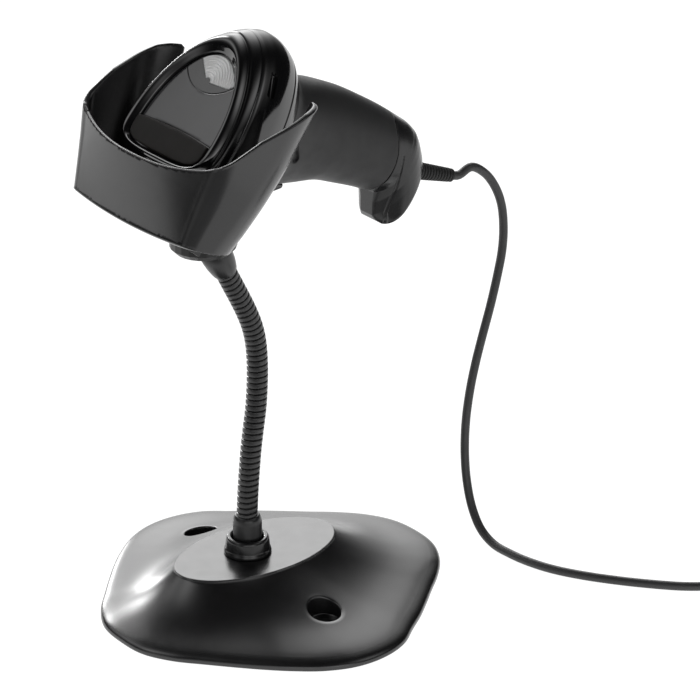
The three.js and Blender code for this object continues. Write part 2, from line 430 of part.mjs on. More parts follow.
add(scanner, 'indicator_pcb', box(-9, 9, 23, 39, -8.4, -7.2), 0x1f4a2a, 0.5);
add(scanner, 'indicator_led', box(-2.5, 2.5, 28.5, 33.5, -6.9, -5.3), 0xdfe6dd, 0.3);
add(scanner, 'trigger_switch', box(-3.2, 3.2, 11.4, 15.6, -64, -58), 0x151515, 0.5);
add(scanner, 'switch_pcb', box(-7, 7, 15.9, 17.5, -67, -52), 0x1f4a2a, 0.5);
add(scanner, 'cable_socket', cut(box(-7, 7, 38, 54, -117, -100), box(-5.6, 5.6, 40, 52, -120, -106)), 0x1a1a1a, 0.5);
add(scanner, 'cable_plug', box(-5.2, 5.2, 40.4, 51.6, -122, -106.4), 0x7f8588, 0.2);

// ------------------------------------------------------------------ cord
const W = (v, n, x = 0) => new THREE.Vector3(x, v, n).applyMatrix4(new THREE.Matrix4().makeRotationX(SC_TILT).setPosition(...SC_POS));
add(object, 'strain_relief', rod(W(...RELIEF.a).toArray(), W(...RELIEF.b).toArray(), RELIEF.r0, RELIEF.r1, 20), 0x202020, 0.6);
const e0 = W(...RELIEF.b), ed = W(...RELIEF.b).sub(W(...RELIEF.a)).normalize();
const start = e0.clone().addScaledVector(ed, GAP);
const R = CORD_D / 2, zf = R + 0.1;
const ROUTE = [start.toArray(), e0.clone().addScaledVector(ed, 5).add(new THREE.Vector3(0, 0, 0.6)).toArray(),
  [0, 118.5, 189.4], [0, 127, 184.4], [0, 133.8, 175.6], [0, 138, 165.4], [0, 139.6, 153], [0, 139, 141.2], [0, 136.6, 129.7], [0, 132.4, 114],
  [0, 127.9, 99.9], [0.2, 123.4, 85.7], [0.8, 119.4, 71.2], [2, 116.2, 56.3], [4.2, 114, 41.6], [8, 112.4, 27.4], [14, 111.2, 15],
  [22, 110.4, 6.6], [32, 110.2, zf + 0.4], [44, 110.6, zf], [56, 112.4, zf], [69, 116.6, zf], [82, 123.6, zf], [95, 132.6, zf], [108, 143.2, zf],
  [120, 154.6, zf], [126.6, 163.2, zf], [130.8, 170.8, zf], [132.9, 177.4, zf]];
const route = new THREE.CatmullRomCurve3(ROUTE.map(q => new THREE.Vector3(...q)), false, 'centripetal');
const circle = new THREE.Shape(Array.from({ length: 8 }, (_, i) => new THREE.Vector2(R * Math.cos(i * Math.PI / 4), R * Math.sin(i * Math.PI / 4))));
add(object, 'cable', new THREE.ExtrudeGeometry(circle, { steps: 60, bevelEnabled: false, extrudePath: route }), 0x2c2c2c, 0.55);
const zc = 1.1;
add(object, 'cable_coil', lathe([[COIL.rIn, zc + 2], [COIL.rIn + 1.5, zc], [COIL.rOut - 1.5, zc], [COIL.rOut, zc + 2], [COIL.rOut, zc + COIL.h - 2], [COIL.rOut - 1.5, zc + COIL.h],
  [COIL.rIn + 1.5, zc + COIL.h], [COIL.rIn, zc + COIL.h - 2], [COIL.rIn, zc + 2]], 28).translate(COIL.x, COIL.y, 0), 0x2a2a2a, 0.6);
// tie round the coil's section, on its near side
const tieLoop = (o, x0, x1) => box(x0, x1, COIL.rIn - 1 - o, COIL.rOut + 1 + o, zc - 0.4 - o, zc + COIL.h + 0.4 + o);
add(object, 'cable_tie', cut(tieLoop(0.6, -2, 2), tieLoop(0, -5, 5)).rotateZ(Math.PI).translate(COIL.x, COIL.y, 0), 0x111111, 0.5);
// plug lies across the top of the coil
const zp = zc + COIL.h + GAP + 4.1, PL = { x: COIL.x - 12, y: COIL.y + 14 };
add(object, 'usb_plug_overmold', slabX([[-8, -4.1], [8, -4.1], [8, 4.1], [-8, 4.1]], 0, 30, 1.2).translate(PL.x, PL.y, zp), 0x151515, 0.5);
add(object, 'usb_plug_shell', cut(box(30.3, 44, -6, 6, -2.25, 2.25), box(36, 50, -5.4, 5.4, -1.65, 1.65)).translate(PL.x, PL.y, zp), 0xb8b8ba, 0.3, 1);
function slabX(pts, x0, x1) { return loft([x0, x1].map(x => pts.map(q => [x, q[0], q[1]]))); }

export default object;
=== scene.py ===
import math

import bpy
import numpy as np
from mathutils import Matrix, Vector
from mathutils.geometry import delaunay_2d_cdt

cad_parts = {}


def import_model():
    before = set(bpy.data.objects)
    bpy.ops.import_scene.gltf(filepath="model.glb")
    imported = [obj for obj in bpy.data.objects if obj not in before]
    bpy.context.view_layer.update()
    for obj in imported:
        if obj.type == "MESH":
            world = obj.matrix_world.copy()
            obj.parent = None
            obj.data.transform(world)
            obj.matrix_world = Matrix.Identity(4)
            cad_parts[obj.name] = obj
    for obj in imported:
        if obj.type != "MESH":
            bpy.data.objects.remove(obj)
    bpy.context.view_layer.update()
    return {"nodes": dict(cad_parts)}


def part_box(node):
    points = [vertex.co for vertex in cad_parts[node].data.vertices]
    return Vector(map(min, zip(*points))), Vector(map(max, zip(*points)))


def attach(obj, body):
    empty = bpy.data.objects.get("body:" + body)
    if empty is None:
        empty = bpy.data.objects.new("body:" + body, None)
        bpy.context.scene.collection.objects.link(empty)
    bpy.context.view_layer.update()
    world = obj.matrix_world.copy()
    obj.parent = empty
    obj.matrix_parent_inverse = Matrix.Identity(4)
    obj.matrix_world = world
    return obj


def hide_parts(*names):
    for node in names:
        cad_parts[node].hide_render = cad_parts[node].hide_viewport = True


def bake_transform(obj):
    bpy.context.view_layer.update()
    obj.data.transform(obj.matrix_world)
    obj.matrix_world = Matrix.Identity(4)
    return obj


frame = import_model()
MM = 0.001
pi = math.pi

# ---------------------------------------------------------------- the part's driving dimensions, in mm
P0 = np.array([0, -53.2, 247.7])
TILT = math.radians(48.1)
CA, SA = math.cos(TILT), math.sin(TILT)


def world(p):
    """Scanner frame (x, v, n) to the row frame, in mm."""
    p = np.asarray(p, float)
    return np.stack([p[..., 0], P0[1] + p[..., 1] * CA - p[..., 2] * SA, P0[2] + p[..., 1] * SA + p[..., 2] * CA], -1)


# ---------------------------------------------------------------- camera
BACK = Vector((0.723, -0.553, 0.415)).normalized()
RIGHT = Vector((0, 0, 1)).cross(BACK).normalized()
UP = BACK.cross(RIGHT)
cam = bpy.data.objects.new("camera", bpy.data.cameras.new("camera"))
cam.data.lens, cam.data.sensor_width, cam.data.clip_end = 180, 36, 50
cam.matrix_world = Matrix((
    (RIGHT.x, UP.x, BACK.x, 1.2003),
    (RIGHT.y, UP.y, BACK.y, -0.8721),
    (RIGHT.z, UP.z, BACK.z, 0.8025),
    (0, 0, 0, 1),
))
bpy.context.scene.collection.objects.link(cam)
bpy.context.scene.camera = cam


# ---------------------------------------------------------------- helpers
def pchip(xs, ys, x):
    """Monotone cubic through the points; ys may have several columns."""
    xs, ys, x = np.asarray(xs, float), np.asarray(ys, float), np.asarray(x, float)
    if xs[0] > xs[-1]:
        xs, ys = xs[::-1], ys[::-1]
    one = ys.ndim == 1
    if one:
        ys = ys[:, None]
    h, d = np.diff(xs)[:, None], np.diff(ys, axis=0) / np.diff(xs)[:, None]
    m = np.zeros_like(ys)
    m[0], m[-1] = d[0], d[-1]
    for k in range(1, len(xs) - 1):
        same = d[k - 1] * d[k] > 0
        w1, w2 = 2 * h[k] + h[k - 1], h[k] + 2 * h[k - 1]
        with np.errstate(divide="ignore", invalid="ignore"):
            m[k] = np.where(same, (w1 + w2) / (w1 / d[k - 1] + w2 / d[k]), 0)
    x = np.clip(x, xs[0], xs[-1])
    i = np.clip(np.searchsorted(xs, x) - 1, 0, len(xs) - 2)
    t = ((x - xs[i]) / (xs[i + 1] - xs[i]))[..., None]
    hh = h[i]
    out = (2 * t**3 - 3 * t**2 + 1) * ys[i] + (t**3 - 2 * t**2 + t) * hh * m[i] + (-2 * t**3 + 3 * t**2) * ys[i + 1] + (t**3 - t**2) * hh * m[i + 1]
    return out[..., 0] if one else out


def volume(v, faces):
    total = 0.0
    for f in faces:
        a = v[f[0]]
        for i in range(1, len(f) - 1):
            total += np.dot(a, np.cross(v[f[i]], v[f[i + 1]]))
    return total


def piece(name, verts, faces, body=None, mat=None, slot=None, stands_for=(), angle=35, local=False):
    v = np.asarray(verts, float)
    if local:
        v = world(v)
    faces = [tuple(int(i) for i in f) for f in faces]
    if volume(v, faces) < 0:
        faces = [f[::-1] for f in faces]
    me = bpy.data.meshes.new(name)
    me.from_pydata((v * MM).tolist(), [], faces)
    me.validate()
    me.polygons.foreach_set("use_smooth", [True] * len(me.polygons))
    me.set_sharp_from_angle(angle=math.radians(angle))
    me.update()
    o = bpy.data.objects.new(name, me)
    bpy.context.scene.collection.objects.link(o)
    if mat:
        me.materials.append(mat)
    if body:
        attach(o, body)
    if stands_for:
        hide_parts(*stands_for)
    return o


def grid(rings, close=True, cap0=True, cap1=True):
    """Verts and faces of a skin through rings of equal count; the ends are closed by a fan on their centre."""
    R, N = len(rings), len(rings[0])
    v = [p for r in rings for p in r]
    f = []
    for j in range(R - 1):
        for i in range(N if close else N - 1):
            a, b = j * N + i, j * N + (i + 1) % N
            f.append((a, b, b + N, a + N))
    for on, j in ((cap0, 0), (cap1, R - 1)):
        if on:
            k = len(v)
            v.append(np.mean(np.asarray(rings[j], float), axis=0))
            for i in range(N):
                a, b = j * N + i, j * N + (i + 1) % N
                f.append((b, a, k) if j == 0 else (a, b, k))
    return v, f


def lathe(profile, N=96, at=(0, 0, 0)):
    """Closed of revolution about +Z through at; the profile is (r, z) from axis to axis, or a closed loop."""
    a = np.arange(N) * 2 * pi / N
    loop = profile[0] == profile[-1]
    pts = profile[:-1] if loop else profile
    rings = [np.stack([r * np.cos(a) + at[0], r * np.sin(a) + at[1], np.full(N, z + at[2])], -1) for r, z in pts if loop or r > 1e-6]
    v, f = grid(rings, cap0=not loop, cap1=not loop)
    if loop:
        R = len(rings)
        for i in range(N):
            x, y = (R - 1) * N + i, (R - 1) * N + (i + 1) % N
            f.append((x, y, (i + 1) % N, i))
    else:
        v[-2] = np.array([at[0], at[1], profile[0][1] + at[2]])
        v[-1] = np.array([at[0], at[1], profile[-1][1] + at[2]])
    return v, f


def rounded(profile, r=0.4, steps=4, closed=False):
    """The polyline with its corners rounded."""
    p = [np.array(q, float) for q in profile]
    if closed:
        p = p[:-1]
    out = []
    n = len(p)
    for i, q in enumerate(p):
        if not closed and i in (0, n - 1):
            out.append(tuple(q))
            continue
        a, b = p[i - 1] - q, p[(i + 1) % n] - q
        la, lb = np.linalg.norm(a), np.linalg.norm(b)
        if la < 1e-9 or lb < 1e-9:
            out.append(tuple(q))
            continue
        d = min(r, 0.45 * la, 0.45 * lb)
        s, e = q + a / la * d, q + b / lb * d
        for k in range(steps + 1):
            t = k / steps
            out.append(tuple((1 - t) ** 2 * s + 2 * t * (1 - t) * q + t * t * e))
    if closed:
        out.append(out[0])
    return out


def egg(row, N=240, inset=0.0, th=None):
    """Section outline: two half superellipses that meet at the widest point. row = v0, v1, half width, vm, pf, pb."""
    v0, v1, hw, vm, pf, pb = row
    t = (np.arange(N) + 0.5) * 2 * pi / N if th is None else th
    c, s = np.cos(t), np.sin(t)
    p = np.where(s < 0, pf, pb)
    a = np.where(s < 0, vm - v0 - inset, v1 - vm - inset)
    x = (hw - inset) * np.sign(c) * np.abs(c) ** (2 / p)
    v = vm + a * np.sign(s) * np.abs(s) ** (2 / p)
    return x, v


def even_egg(row, N, inset=0.0):
    """The same outline, with its points evenly spaced along it, starting at the middle of the back."""
    t = (np.arange(4000) + 0.5) * 2 * pi / 4000 + pi / 2
    x, v = egg(row, th=t % (2 * pi), inset=inset)
    x, v = np.append(x, x[0]), np.append(v, v[0])
    s = np.append(0, np.cumsum(np.hypot(np.diff(x), np.diff(v))))
    q = (np.arange(N) + 0.5) / N * s[-1]
    return np.interp(q, s, x), np.interp(q, s, v)


def inside(poly, pts):
    """Even-odd test of points against a closed polygon."""
    poly, pts = np.asarray(poly, float), np.asarray(pts, float)
    ins = np.zeros(len(pts), bool)
    x, y = pts[:, 0], pts[:, 1]
    for i in range(len(poly)):
        (x1, y1), (x2, y2) = poly[i - 1], poly[i]
        if y1 == y2:
            continue
        hit = ((y1 > y) != (y2 > y)) & (x < (x2 - x1) * (y - y1) / (y2 - y1) + x1)
        ins ^= hit
    return ins


def fill(loops, pts):
    """Triangles over the area inside the first loop and outside the others, through the given inner points.
    The loops' points come first and keep their order."""
    allp, edges, start = [], [], 0
    for lp in loops:
        n = len(lp)
        allp += [tuple(p) for p in lp]
        edges += [(start + i, start + (i + 1) % n) for i in range(n)]
        start += n
    keep = inside(loops[0], pts)
    for lp in loops[1:]:
        keep &= ~inside(lp, pts)
    pts = np.asarray(pts)[keep]
    if len(pts):
        from mathutils.kdtree import KDTree

        tree = KDTree(len(allp))
        for i, p in enumerate(allp):
            tree.insert((p[0], p[1], 0), i)
        tree.balance()
        gap = np.median([math.dist(loops[0][i - 1], loops[0][i]) for i in range(len(loops[0]))])
        pts = [p for p in pts if tree.find((p[0], p[1], 0))[2] > 0.45 * gap]
    co = [Vector(p) for p in allp] + [Vector(p[:2]) for p in pts]
    out, _, tris, origv, _, _ = delaunay_2d_cdt(co, edges, [], 0, 1e-7)
    out = np.array([tuple(p) for p in out])
    tris = np.array(tris)
    c = out[tris].mean(1)
    ok = inside(loops[0], c)
    for lp in loops[1:]:
        ok &= ~inside(lp, c)
    tris = tris[ok]
    # back to the given order
    order = {}
    for i, o in enumerate(origv):
        for k in o:
            order[k] = i
    first = [order[i] for i in range(start)]
    rest = [i for i in range(len(out)) if i not in set(first)]
    new = {o: i for i, o in enumerate(first + rest)}
    return out[first + rest], [tuple(new[i] for i in t) for t in tris]


def smooth(x, a, b):
    t = np.clip((x - a) / (b - a), 0, 1)
    return t * t * (3 - 2 * t)


def boolean(o, cutter, op="DIFFERENCE"):
    m = o.modifiers.new("cut", "BOOLEAN")
    m.object, m.operation, m.solver = cutter, op, "EXACT"
    dg = bpy.context.evaluated_depsgraph_get()
    me = bpy.data.meshes.new_from_object(o.evaluated_get(dg))
    o.modifiers.clear()
    old, o.data = o.data, me
    me.name = old.name + "_cut"
    bpy.data.objects.remove(cutter)
    me.polygons.foreach_set("use_smooth", [True] * len(me.polygons))
    me.set_sharp_from_angle(angle=math.radians(35))
    return o


# ---------------------------------------------------------------- materials
def material(name, color, rough, metal=0.0, grain=900.0, grain_h=0.00002, rough_var=0.05, tone_var=0.12, blotch=28.0, coat=0.0, ior=1.5, spec=0.5, trans=0.0):
    m = bpy.data.materials.new(name)
    m.use_nodes = True
    t = m.node_tree
    n, l = t.nodes, t.links
    b = n["Principled BSDF"]
    b.inputs["Metallic"].default_value = metal
    b.inputs["Coat Weight"].default_value = coat
    b.inputs["Coat Roughness"].default_value = 0.05
    b.inputs["IOR"].default_value = ior
    b.inputs["Specular IOR Level"].default_value = spec
    b.inputs["Transmission Weight"].default_value = trans
    co = n.new("ShaderNodeTexCoord")
    big = n.new("ShaderNodeTexNoise")
    big.inputs["Scale"].default_value = blotch
    big.inputs["Detail"].default_value = 4
    l.new(co.outputs["Object"], big.inputs["Vector"])
    ramp = n.new("ShaderNodeValToRGB")
    lo, hi = [max(0, c * (1 - tone_var)) for c in color], [c * (1 + tone_var) for c in color]
    ramp.color_ramp.elements[0].position, ramp.color_ramp.elements[0].color = 0.3, (*lo, 1)
    ramp.color_ramp.elements[1].position, ramp.color_ramp.elements[1].color = 0.7, (*hi, 1)
    l.new(big.outputs["Fac"], ramp.inputs["Fac"])
    l.new(ramp.outputs["Color"], b.inputs["Base Color"])
    mid = n.new("ShaderNodeTexNoise")
    mid.inputs["Scale"].default_value = blotch * 6
    mid.inputs["Detail"].default_value = 3
    l.new(co.outputs["Object"], mid.inputs["Vector"])
    rr = n.new("ShaderNodeMapRange")
    rr.inputs["From Min"].default_value, rr.inputs["From Max"].default_value = 0.3, 0.7
    rr.inputs["To Min"].default_value, rr.inputs["To Max"].default_value = max(0.02, rough - rough_var), min(1, rough + rough_var)
    l.new(mid.outputs["Fac"], rr.inputs["Value"])
    l.new(rr.outputs["Result"], b.inputs["Roughness"])
    if grain_h:
        g = n.new("ShaderNodeTexNoise")
        g.inputs["Scale"].default_value = grain
        g.inputs["Detail"].default_value = 2
        l.new(co.outputs["Object"], g.inputs["Vector"])
        bp = n.new("ShaderNodeBump")
        bp.inputs["Strength"].default_value = 0.6
        bp.inputs["Distance"].default_value = grain_h
        l.new(g.outputs["Fac"], bp.inputs["Height"])
        l.new(bp.outputs["Normal"], b.inputs["Normal"])
    return m


GLOSS = material("gloss_black", (0.005, 0.005, 0.0055), 0.10, rough_var=0.015, grain_h=0, spec=0.85)
RING = material("ring_gloss", (0.005, 0.005, 0.0055), 0.07, rough_var=0.015, grain_h=0, spec=0.95)
SATIN = material("stand_satin", (0.009, 0.009, 0.0095), 0.25, rough_var=0.02, grain=1600, grain_h=0.000006, spec=0.75)
FIT = material("fitting_satin", (0.013, 0.013, 0.0135), 0.32, rough_var=0.04, grain=1600, grain_h=0.00001)
MATTE = material("grip_matte", (0.017, 0.017, 0.0175), 0.5, rough_var=0.05, grain=2600, grain_h=0.00002, spec=0.4)
CAPM = material("cap_semi_gloss", (0.012, 0.012, 0.0125), 0.24, rough_var=0.03, grain=1400, grain_h=0.000006)
NECKM = material("neck_black", (0.012, 0.012, 0.0125), 0.3, metal=0.0, rough_var=0.06, grain=1200, grain_h=0.00001, spec=0.6)
INLAY = material("smoked_inlay", (0.035, 0.035, 0.037), 0.12, rough_var=0.02, grain_h=0, spec=0.7)
LABEL = material("label_matte", (0.012, 0.0105, 0.0095), 0.55, rough_var=0.04, grain=3000, grain_h=0.000008, spec=0.1)
CORDM = material("cord_grey", (0.032, 0.032, 0.033), 0.48, rough_var=0.06, grain=700, grain_h=0.00001)
RUBBER = material("rubber_black", (0.016, 0.016, 0.016), 0.72, rough_var=0.06, grain=1200, grain_h=0.00003)
STEEL = material("steel", (0.55, 0.55, 0.56), 0.3, metal=1.0, rough_var=0.08, grain=900, grain_h=0.000006)
CAST = material("cast_weight", (0.16, 0.16, 0.16), 0.6, metal=0.8, rough_var=0.1, grain=300, grain_h=0.0001)
PCB = material("pcb_green", (0.02, 0.10, 0.04), 0.4, rough_var=0.06, grain=500, grain_h=0.00001)
COMP = material("component_black", (0.02, 0.02, 0.021), 0.5, rough_var=0.06, grain=1000, grain_h=0.00001)
LED = material("led_clear", (0.75, 0.73, 0.62), 0.2, rough_var=0.04, grain_h=0)
OPTIC = material("optic", (0.02, 0.03, 0.06), 0.05, rough_var=0.01, grain_h=0, coat=1.0)
WINDOWM = material("window_red", (0.05, 0.004, 0.006), 0.06, rough_var=0.01, grain_h=0, coat=0.5)
CONN = material("connector_clear", (0.45, 0.47, 0.5), 0.25, rough_var=0.04, grain_h=0)
PLUGM = material("plug_black", (0.016, 0.016, 0.0165), 0.45, rough_var=0.05, grain=1500, grain_h=0.00001)
CHROME = material("chrome", (0.72, 0.72, 0.74), 0.12, metal=1.0, rough_var=0.04, grain_h=0)
LENSM = material("lens_grey", (0.85, 0.85, 0.85), 0.14, rough_var=0.03, grain_h=0, spec=0.8)

for names, m in (
    (("base_weight",), CAST), (("base_plate",), FIT), (("base_pad",), RUBBER),
    (("base_screw_1", "base_screw_2", "base_screw_3", "base_screw_4", "neck_nut", "cup_screw_1", "cup_screw_2", "presence_magnet",
      "pcb_screw_1", "pcb_screw_2", "trigger_pin"), STEEL),
    (("main_pcb", "indicator_pcb", "switch_pcb"), PCB),
    (("scan_engine", "beeper", "trigger_switch", "cable_socket"), COMP),
    (("imaging_lens",), OPTIC), (("illumination_led", "indicator_led"), LED), (("cable_plug",), CONN),
):
    for nm in names:
        o = frame["nodes"][nm]
        o.data.materials.clear()
        o.data.materials.append(m)

# ---------------------------------------------------------------- cord
CORD_D = 4.3
RA, RB = world([0, 51.6, -132.8]), world([0, 62.2, -158.6])
RD = (RB - RA) / np.linalg.norm(RB - RA)
START = RB + RD * 0.3
ZF = 2.25
ROUTE = [START, RB + RD * 5 + np.array([0, 0, 0.6]),
         [0, 118.5, 189.4], [0, 127, 184.4], [0, 133.8, 175.6], [0, 138, 165.4], [0, 139.6, 153], [0, 139, 141.2], [0, 136.6, 129.7], [0, 132.4, 114],
         [0, 127.9, 99.9], [0.2, 123.4, 85.7], [0.8, 119.4, 71.2], [2, 116.2, 56.3], [4.2, 114, 41.6], [8, 112.4, 27.4], [14, 111.2, 15],
         [22, 110.4, 6.6], [32, 110.2, ZF + 0.4], [44, 110.6, ZF], [56, 112.4, ZF], [69, 116.6, ZF], [82, 123.6, ZF], [95, 132.6, ZF], [108, 143.2, ZF],
         [120, 154.6, ZF], [126.6, 163.2, ZF], [130.8, 170.8, ZF], [133.6, 177.6, ZF + 0.2]]
COIL_X, COIL_Y = 168.0, 192.0


def catmull(pts, per=24):
    """Centripetal Catmull-Rom through the points, per steps a span."""
    p = np.asarray(pts, float)
    p = np.vstack([2 * p[0] - p[1], p, 2 * p[-1] - p[-2]])
    out = []
    for i in range(1, len(p) - 2):
        a, b, c, d = p[i - 1], p[i], p[i + 1], p[i + 2]
        t0 = 0.0
        t1 = t0 + max(1e-6, np.linalg.norm(b - a) ** 0.5)
        t2 = t1 + max(1e-6, np.linalg.norm(c - b) ** 0.5)
        t3 = t2 + max(1e-6, np.linalg.norm(d - c) ** 0.5)
        for t in np.linspace(t1, t2, per, endpoint=False):
            A1 = (t1 - t) / (t1 - t0) * a + (t - t0) / (t1 - t0) * b
            A2 = (t2 - t) / (t2 - t1) * b + (t - t1) / (t2 - t1) * c
            A3 = (t3 - t) / (t3 - t2) * c + (t - t2) / (t3 - t2) * d
            B1 = (t2 - t) / (t2 - t0) * A1 + (t - t0) / (t2 - t0) * A2
            B2 = (t3 - t) / (t3 - t1) * A2 + (t - t1) / (t3 - t1) * A3
            out.append((t2 - t) / (t2 - t1) * B1 + (t - t1) / (t2 - t1) * B2)
    out.append(p[-2])
    return np.array(out)


def resample(line, step):
    d = np.append(0, np.cumsum(np.linalg.norm(np.diff(line, axis=0), axis=1)))
    n = max(2, int(round(d[-1] / step)))
    s = np.linspace(0, d[-1], n + 1)
    return np.stack([np.interp(s, d, line[:, k]) for k in range(3)], -1), d[-1]


def frames(line):
    """Tangent and two normals along the line, turned as little as possible."""
    t = np.gradient(line, axis=0)
    t /= np.linalg.norm(t, axis=1)[:, None]
    n = np.cross(t[0], [1, 0, 0])
    if np.linalg.norm(n) < 0.2:
        n = np.cross(t[0], [0, 1, 0])
    n /= np.linalg.norm(n)
    N = [n]
    for i in range(1, len(t)):
        n = N[-1] - t[i] * np.dot(N[-1], t[i])
        N.append(n / np.linalg.norm(n))
    N = np.array(N)
    return t, N, np.cross(t, N)


def tube(line, radius, N=16, rows=None):
    """Rings along the line; radius may be one number or one per point."""
    t, n, b = frames(line)
    a = np.arange(N) * 2 * pi / N
    r = np.broadcast_to(radius, (len(line),))
    return [c + r[i] * (np.cos(a)[:, None] * n[i] + np.sin(a)[:, None] * b[i]) for i, c in enumerate(line)]


# coil: clockwise from its left side, four turns in, four out a layer up, two in on top, then up to the plug
turn_r = [32.1, 27.7, 23.3, 18.9]
P = 4.4
pts = []
Z1, Z2, Z3 = 3.3, 7.75, 12.2


def wind(theta0, turns, r_of, z_of, steps=30):
    n = int(round(turns * steps))
    for k in range(1, n + 1):
        u = k / steps
        a = theta0 - 2 * pi * u
        pts.append([COIL_X + r_of(u) * math.cos(a), COIL_Y + r_of(u) * math.sin(a), z_of(u)])


def hop(u, turns, r0, sign):
    """Radius that holds for most of a turn, then moves one cord across."""
    k = min(int(u), turns - 1)
    f = u - k
    s = smooth(f, 0.72, 1.0) if k < turns - 1 else 0.0
    return r0 + sign * P * (k + s)


lead_in = [[135.7, 184.8, 2.8], [135.9, 192, Z1]]
wind(pi, 4, lambda u: hop(u, 4, 32.1, -1), lambda u: Z1 + (Z2 - Z1) * smooth(u, 3.72, 4.0))
wind(pi, 4, lambda u: hop(u, 4, 18.9, 1), lambda u: Z2 + (Z3 - Z2) * smooth(u, 3.72, 4.0))
wind(pi, 2, lambda u: hop(u, 2, 32.1, -1) - P * smooth(u, 1.75, 2.0) * 0.35, lambda u: Z3 + 0.8 * smooth(u, 1.8, 2.0))
ov_lo, ov_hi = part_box("usb_plug_overmold")
PX, PY, PZ = ov_lo.x * 1000, (ov_lo.y + ov_hi.y) * 500, (ov_lo.z + ov_hi.z) * 500
end_r = 32.1 - P - P * 0.35
# a quarter turn clockwise up to the plug's heel, which lies across the top
x0, y0, z0 = pts[-1]
q = PY - y0
for k in range(1, 13):
    a = pi - (pi / 2) * k / 12
    cx = x0 + q
    pts.append([cx + q * math.cos(a), y0 + q * math.sin(a), z0 + (PZ - z0) * float(smooth(k / 12, 0, 1))])
for k in range(1, 4):
    pts.append([x0 + q + (PX - 0.2 - x0 - q) * k / 3, PY, PZ])
line = catmull(ROUTE + lead_in[:1] + lead_in[1:] + pts, per=10)
cord_line, cord_len = resample(line, 1.6)
cv, cf = grid(tube(cord_line, CORD_D / 2, N=16))
cable = piece("cable", cv, cf, mat=CORDM, slot="cord_grey", stands_for=("cable", "cable_coil"), angle=60)

ov = frame["nodes"]["usb_plug_overmold"]
lo, hi = [np.array(p) * 1000 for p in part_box("usb_plug_overmold")]
cy, cz = (lo[1] + hi[1]) / 2, (lo[2] + hi[2]) / 2


def rrect(w, h, r, N=10):
    """Rounded rectangle of half sizes w, h, in two columns."""
    out = []
    for sx, sy, a0 in ((1, 1, 0), (-1, 1, pi / 2), (-1, -1, pi), (1, -1, 1.5 * pi)):
        for i in range(N + 1):
            a = a0 + i * pi / 2 / N
            out.append((sx * (w - r) + r * math.cos(a), sy * (h - r) + r * math.sin(a)))
    return np.array(out)


rows = []
for x, w, h, r in ((0.0, 2.6, 2.6, 2.4), (0.3, 3.0, 3.0, 2.8), (3.5, 3.6, 3.4, 3.0), (4.2, 4.2, 3.5, 3.0), (6.0, 6.4, 3.9, 2.6), (9.0, 7.5, 4.05, 2.2),
                   (10.5, 7.7, 4.1, 2.0), (28.5, 7.9, 4.1, 1.8), (29.6, 7.6, 3.9, 1.6), (30.0, 7.1, 3.5, 1.4)):
    s = rrect(w, h, r)
    rows.append(np.stack([np.full(len(s), lo[0] + x), cy + s[:, 0], cz + s[:, 1]], -1))
plug = piece("usb_plug_overmold", *grid(rows), body="cup", mat=PLUGM, slot="plug_black", stands_for=("usb_plug_overmold",))
lo, hi = [np.array(p) * 1000 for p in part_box("usb_plug_shell")]
w, h = (hi[1] - lo[1]) / 2, (hi[2] - lo[2]) / 2
rows = []
for x, ins in ((0, 0), (13.4, 0), (13.7, 0.15), (13.7, 0.45), (13.5, 0.5), (6, 0.5)):
    s = rrect(w - ins, h - ins, 0.5)
    rows.append(np.stack([np.full(len(s), lo[0] + x), (lo[1] + hi[1]) / 2 + s[:, 0], (lo[2] + hi[2]) / 2 + s[:, 1]], -1))
plug_shell = piece("usb_plug_shell", *grid(rows), body="cup", mat=CHROME, slot="chrome", stands_for=("usb_plug_shell",))
lo, hi = [np.array(p) * 1000 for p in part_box("cable_tie")]
yc, zc2 = (lo[1] + hi[1]) / 2, (lo[2] + hi[2]) / 2
W2, H2 = (hi[1] - lo[1]) / 2, (hi[2] - lo[2]) / 2
o_, i_ = rrect(W2, H2, 3.0), rrect(W2 - 0.6, H2 - 0.6, 2.5)
xm = (lo[0] + hi[0]) / 2
rows = [np.stack([np.full(len(s), xm + x), yc + s[:, 0], zc2 + s[:, 1]], -1) for x, s in ((-1.9, o_), (-2.0, (o_ + i_) / 2), (-1.9, i_), (1.9, i_), (2.0, (o_ + i_) / 2), (1.9, o_))]
v, f = grid(rows + [rows[0]], cap0=False, cap1=False)
n_ = len(o_)
f = [tuple(i % (6 * n_) for i in q_) for q_ in f]
tie = piece("cable_tie", v[:6 * n_], f, body="cup", mat=PLUGM, slot="plug_black", stands_for=("cable_tie",))
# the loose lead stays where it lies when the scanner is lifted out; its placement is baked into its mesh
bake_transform(cable)

# ---------------------------------------------------------------- stand base
BASE_R = [89, 88.8, 85.5, 81.5, 79.8, 80.2, 82.2, 85.2, 87.1, 86.5, 83.7, 78.5, 76, 75, 76, 79.6, 84.2, 87.6, 88.2]
PY0, PA, PB, PZT, EDGE_Z = -10.8, 24.5, 43.8, 25.6, 6.0
NECK_Y = -15.2


def outline_r(deg):
    """Smooth polar radius of the base's outline."""
    a = (np.asarray(deg, float) + 180) % 360 - 180
    a = np.where(a > 90, 180 - a, np.where(a < -90, -180 - a, a))
    x = (a + 90) / 10
    # periodic through the mirrored table, with a smooth cubic
    R = np.array([BASE_R[1]] + BASE_R + [BASE_R[-2]], float)
    i = np.clip(x.astype(int), 0, 17)
    t = x - i
    p0, p1, p2, p3 = R[i], R[i + 1], R[i + 2], R[i + 3]
    return p1 + 0.5 * t * (p2 - p0 + t * (2 * p0 - 5 * p1 + 4 * p2 - p3 + t * (3 * (p1 - p2) + p3 - p0)))


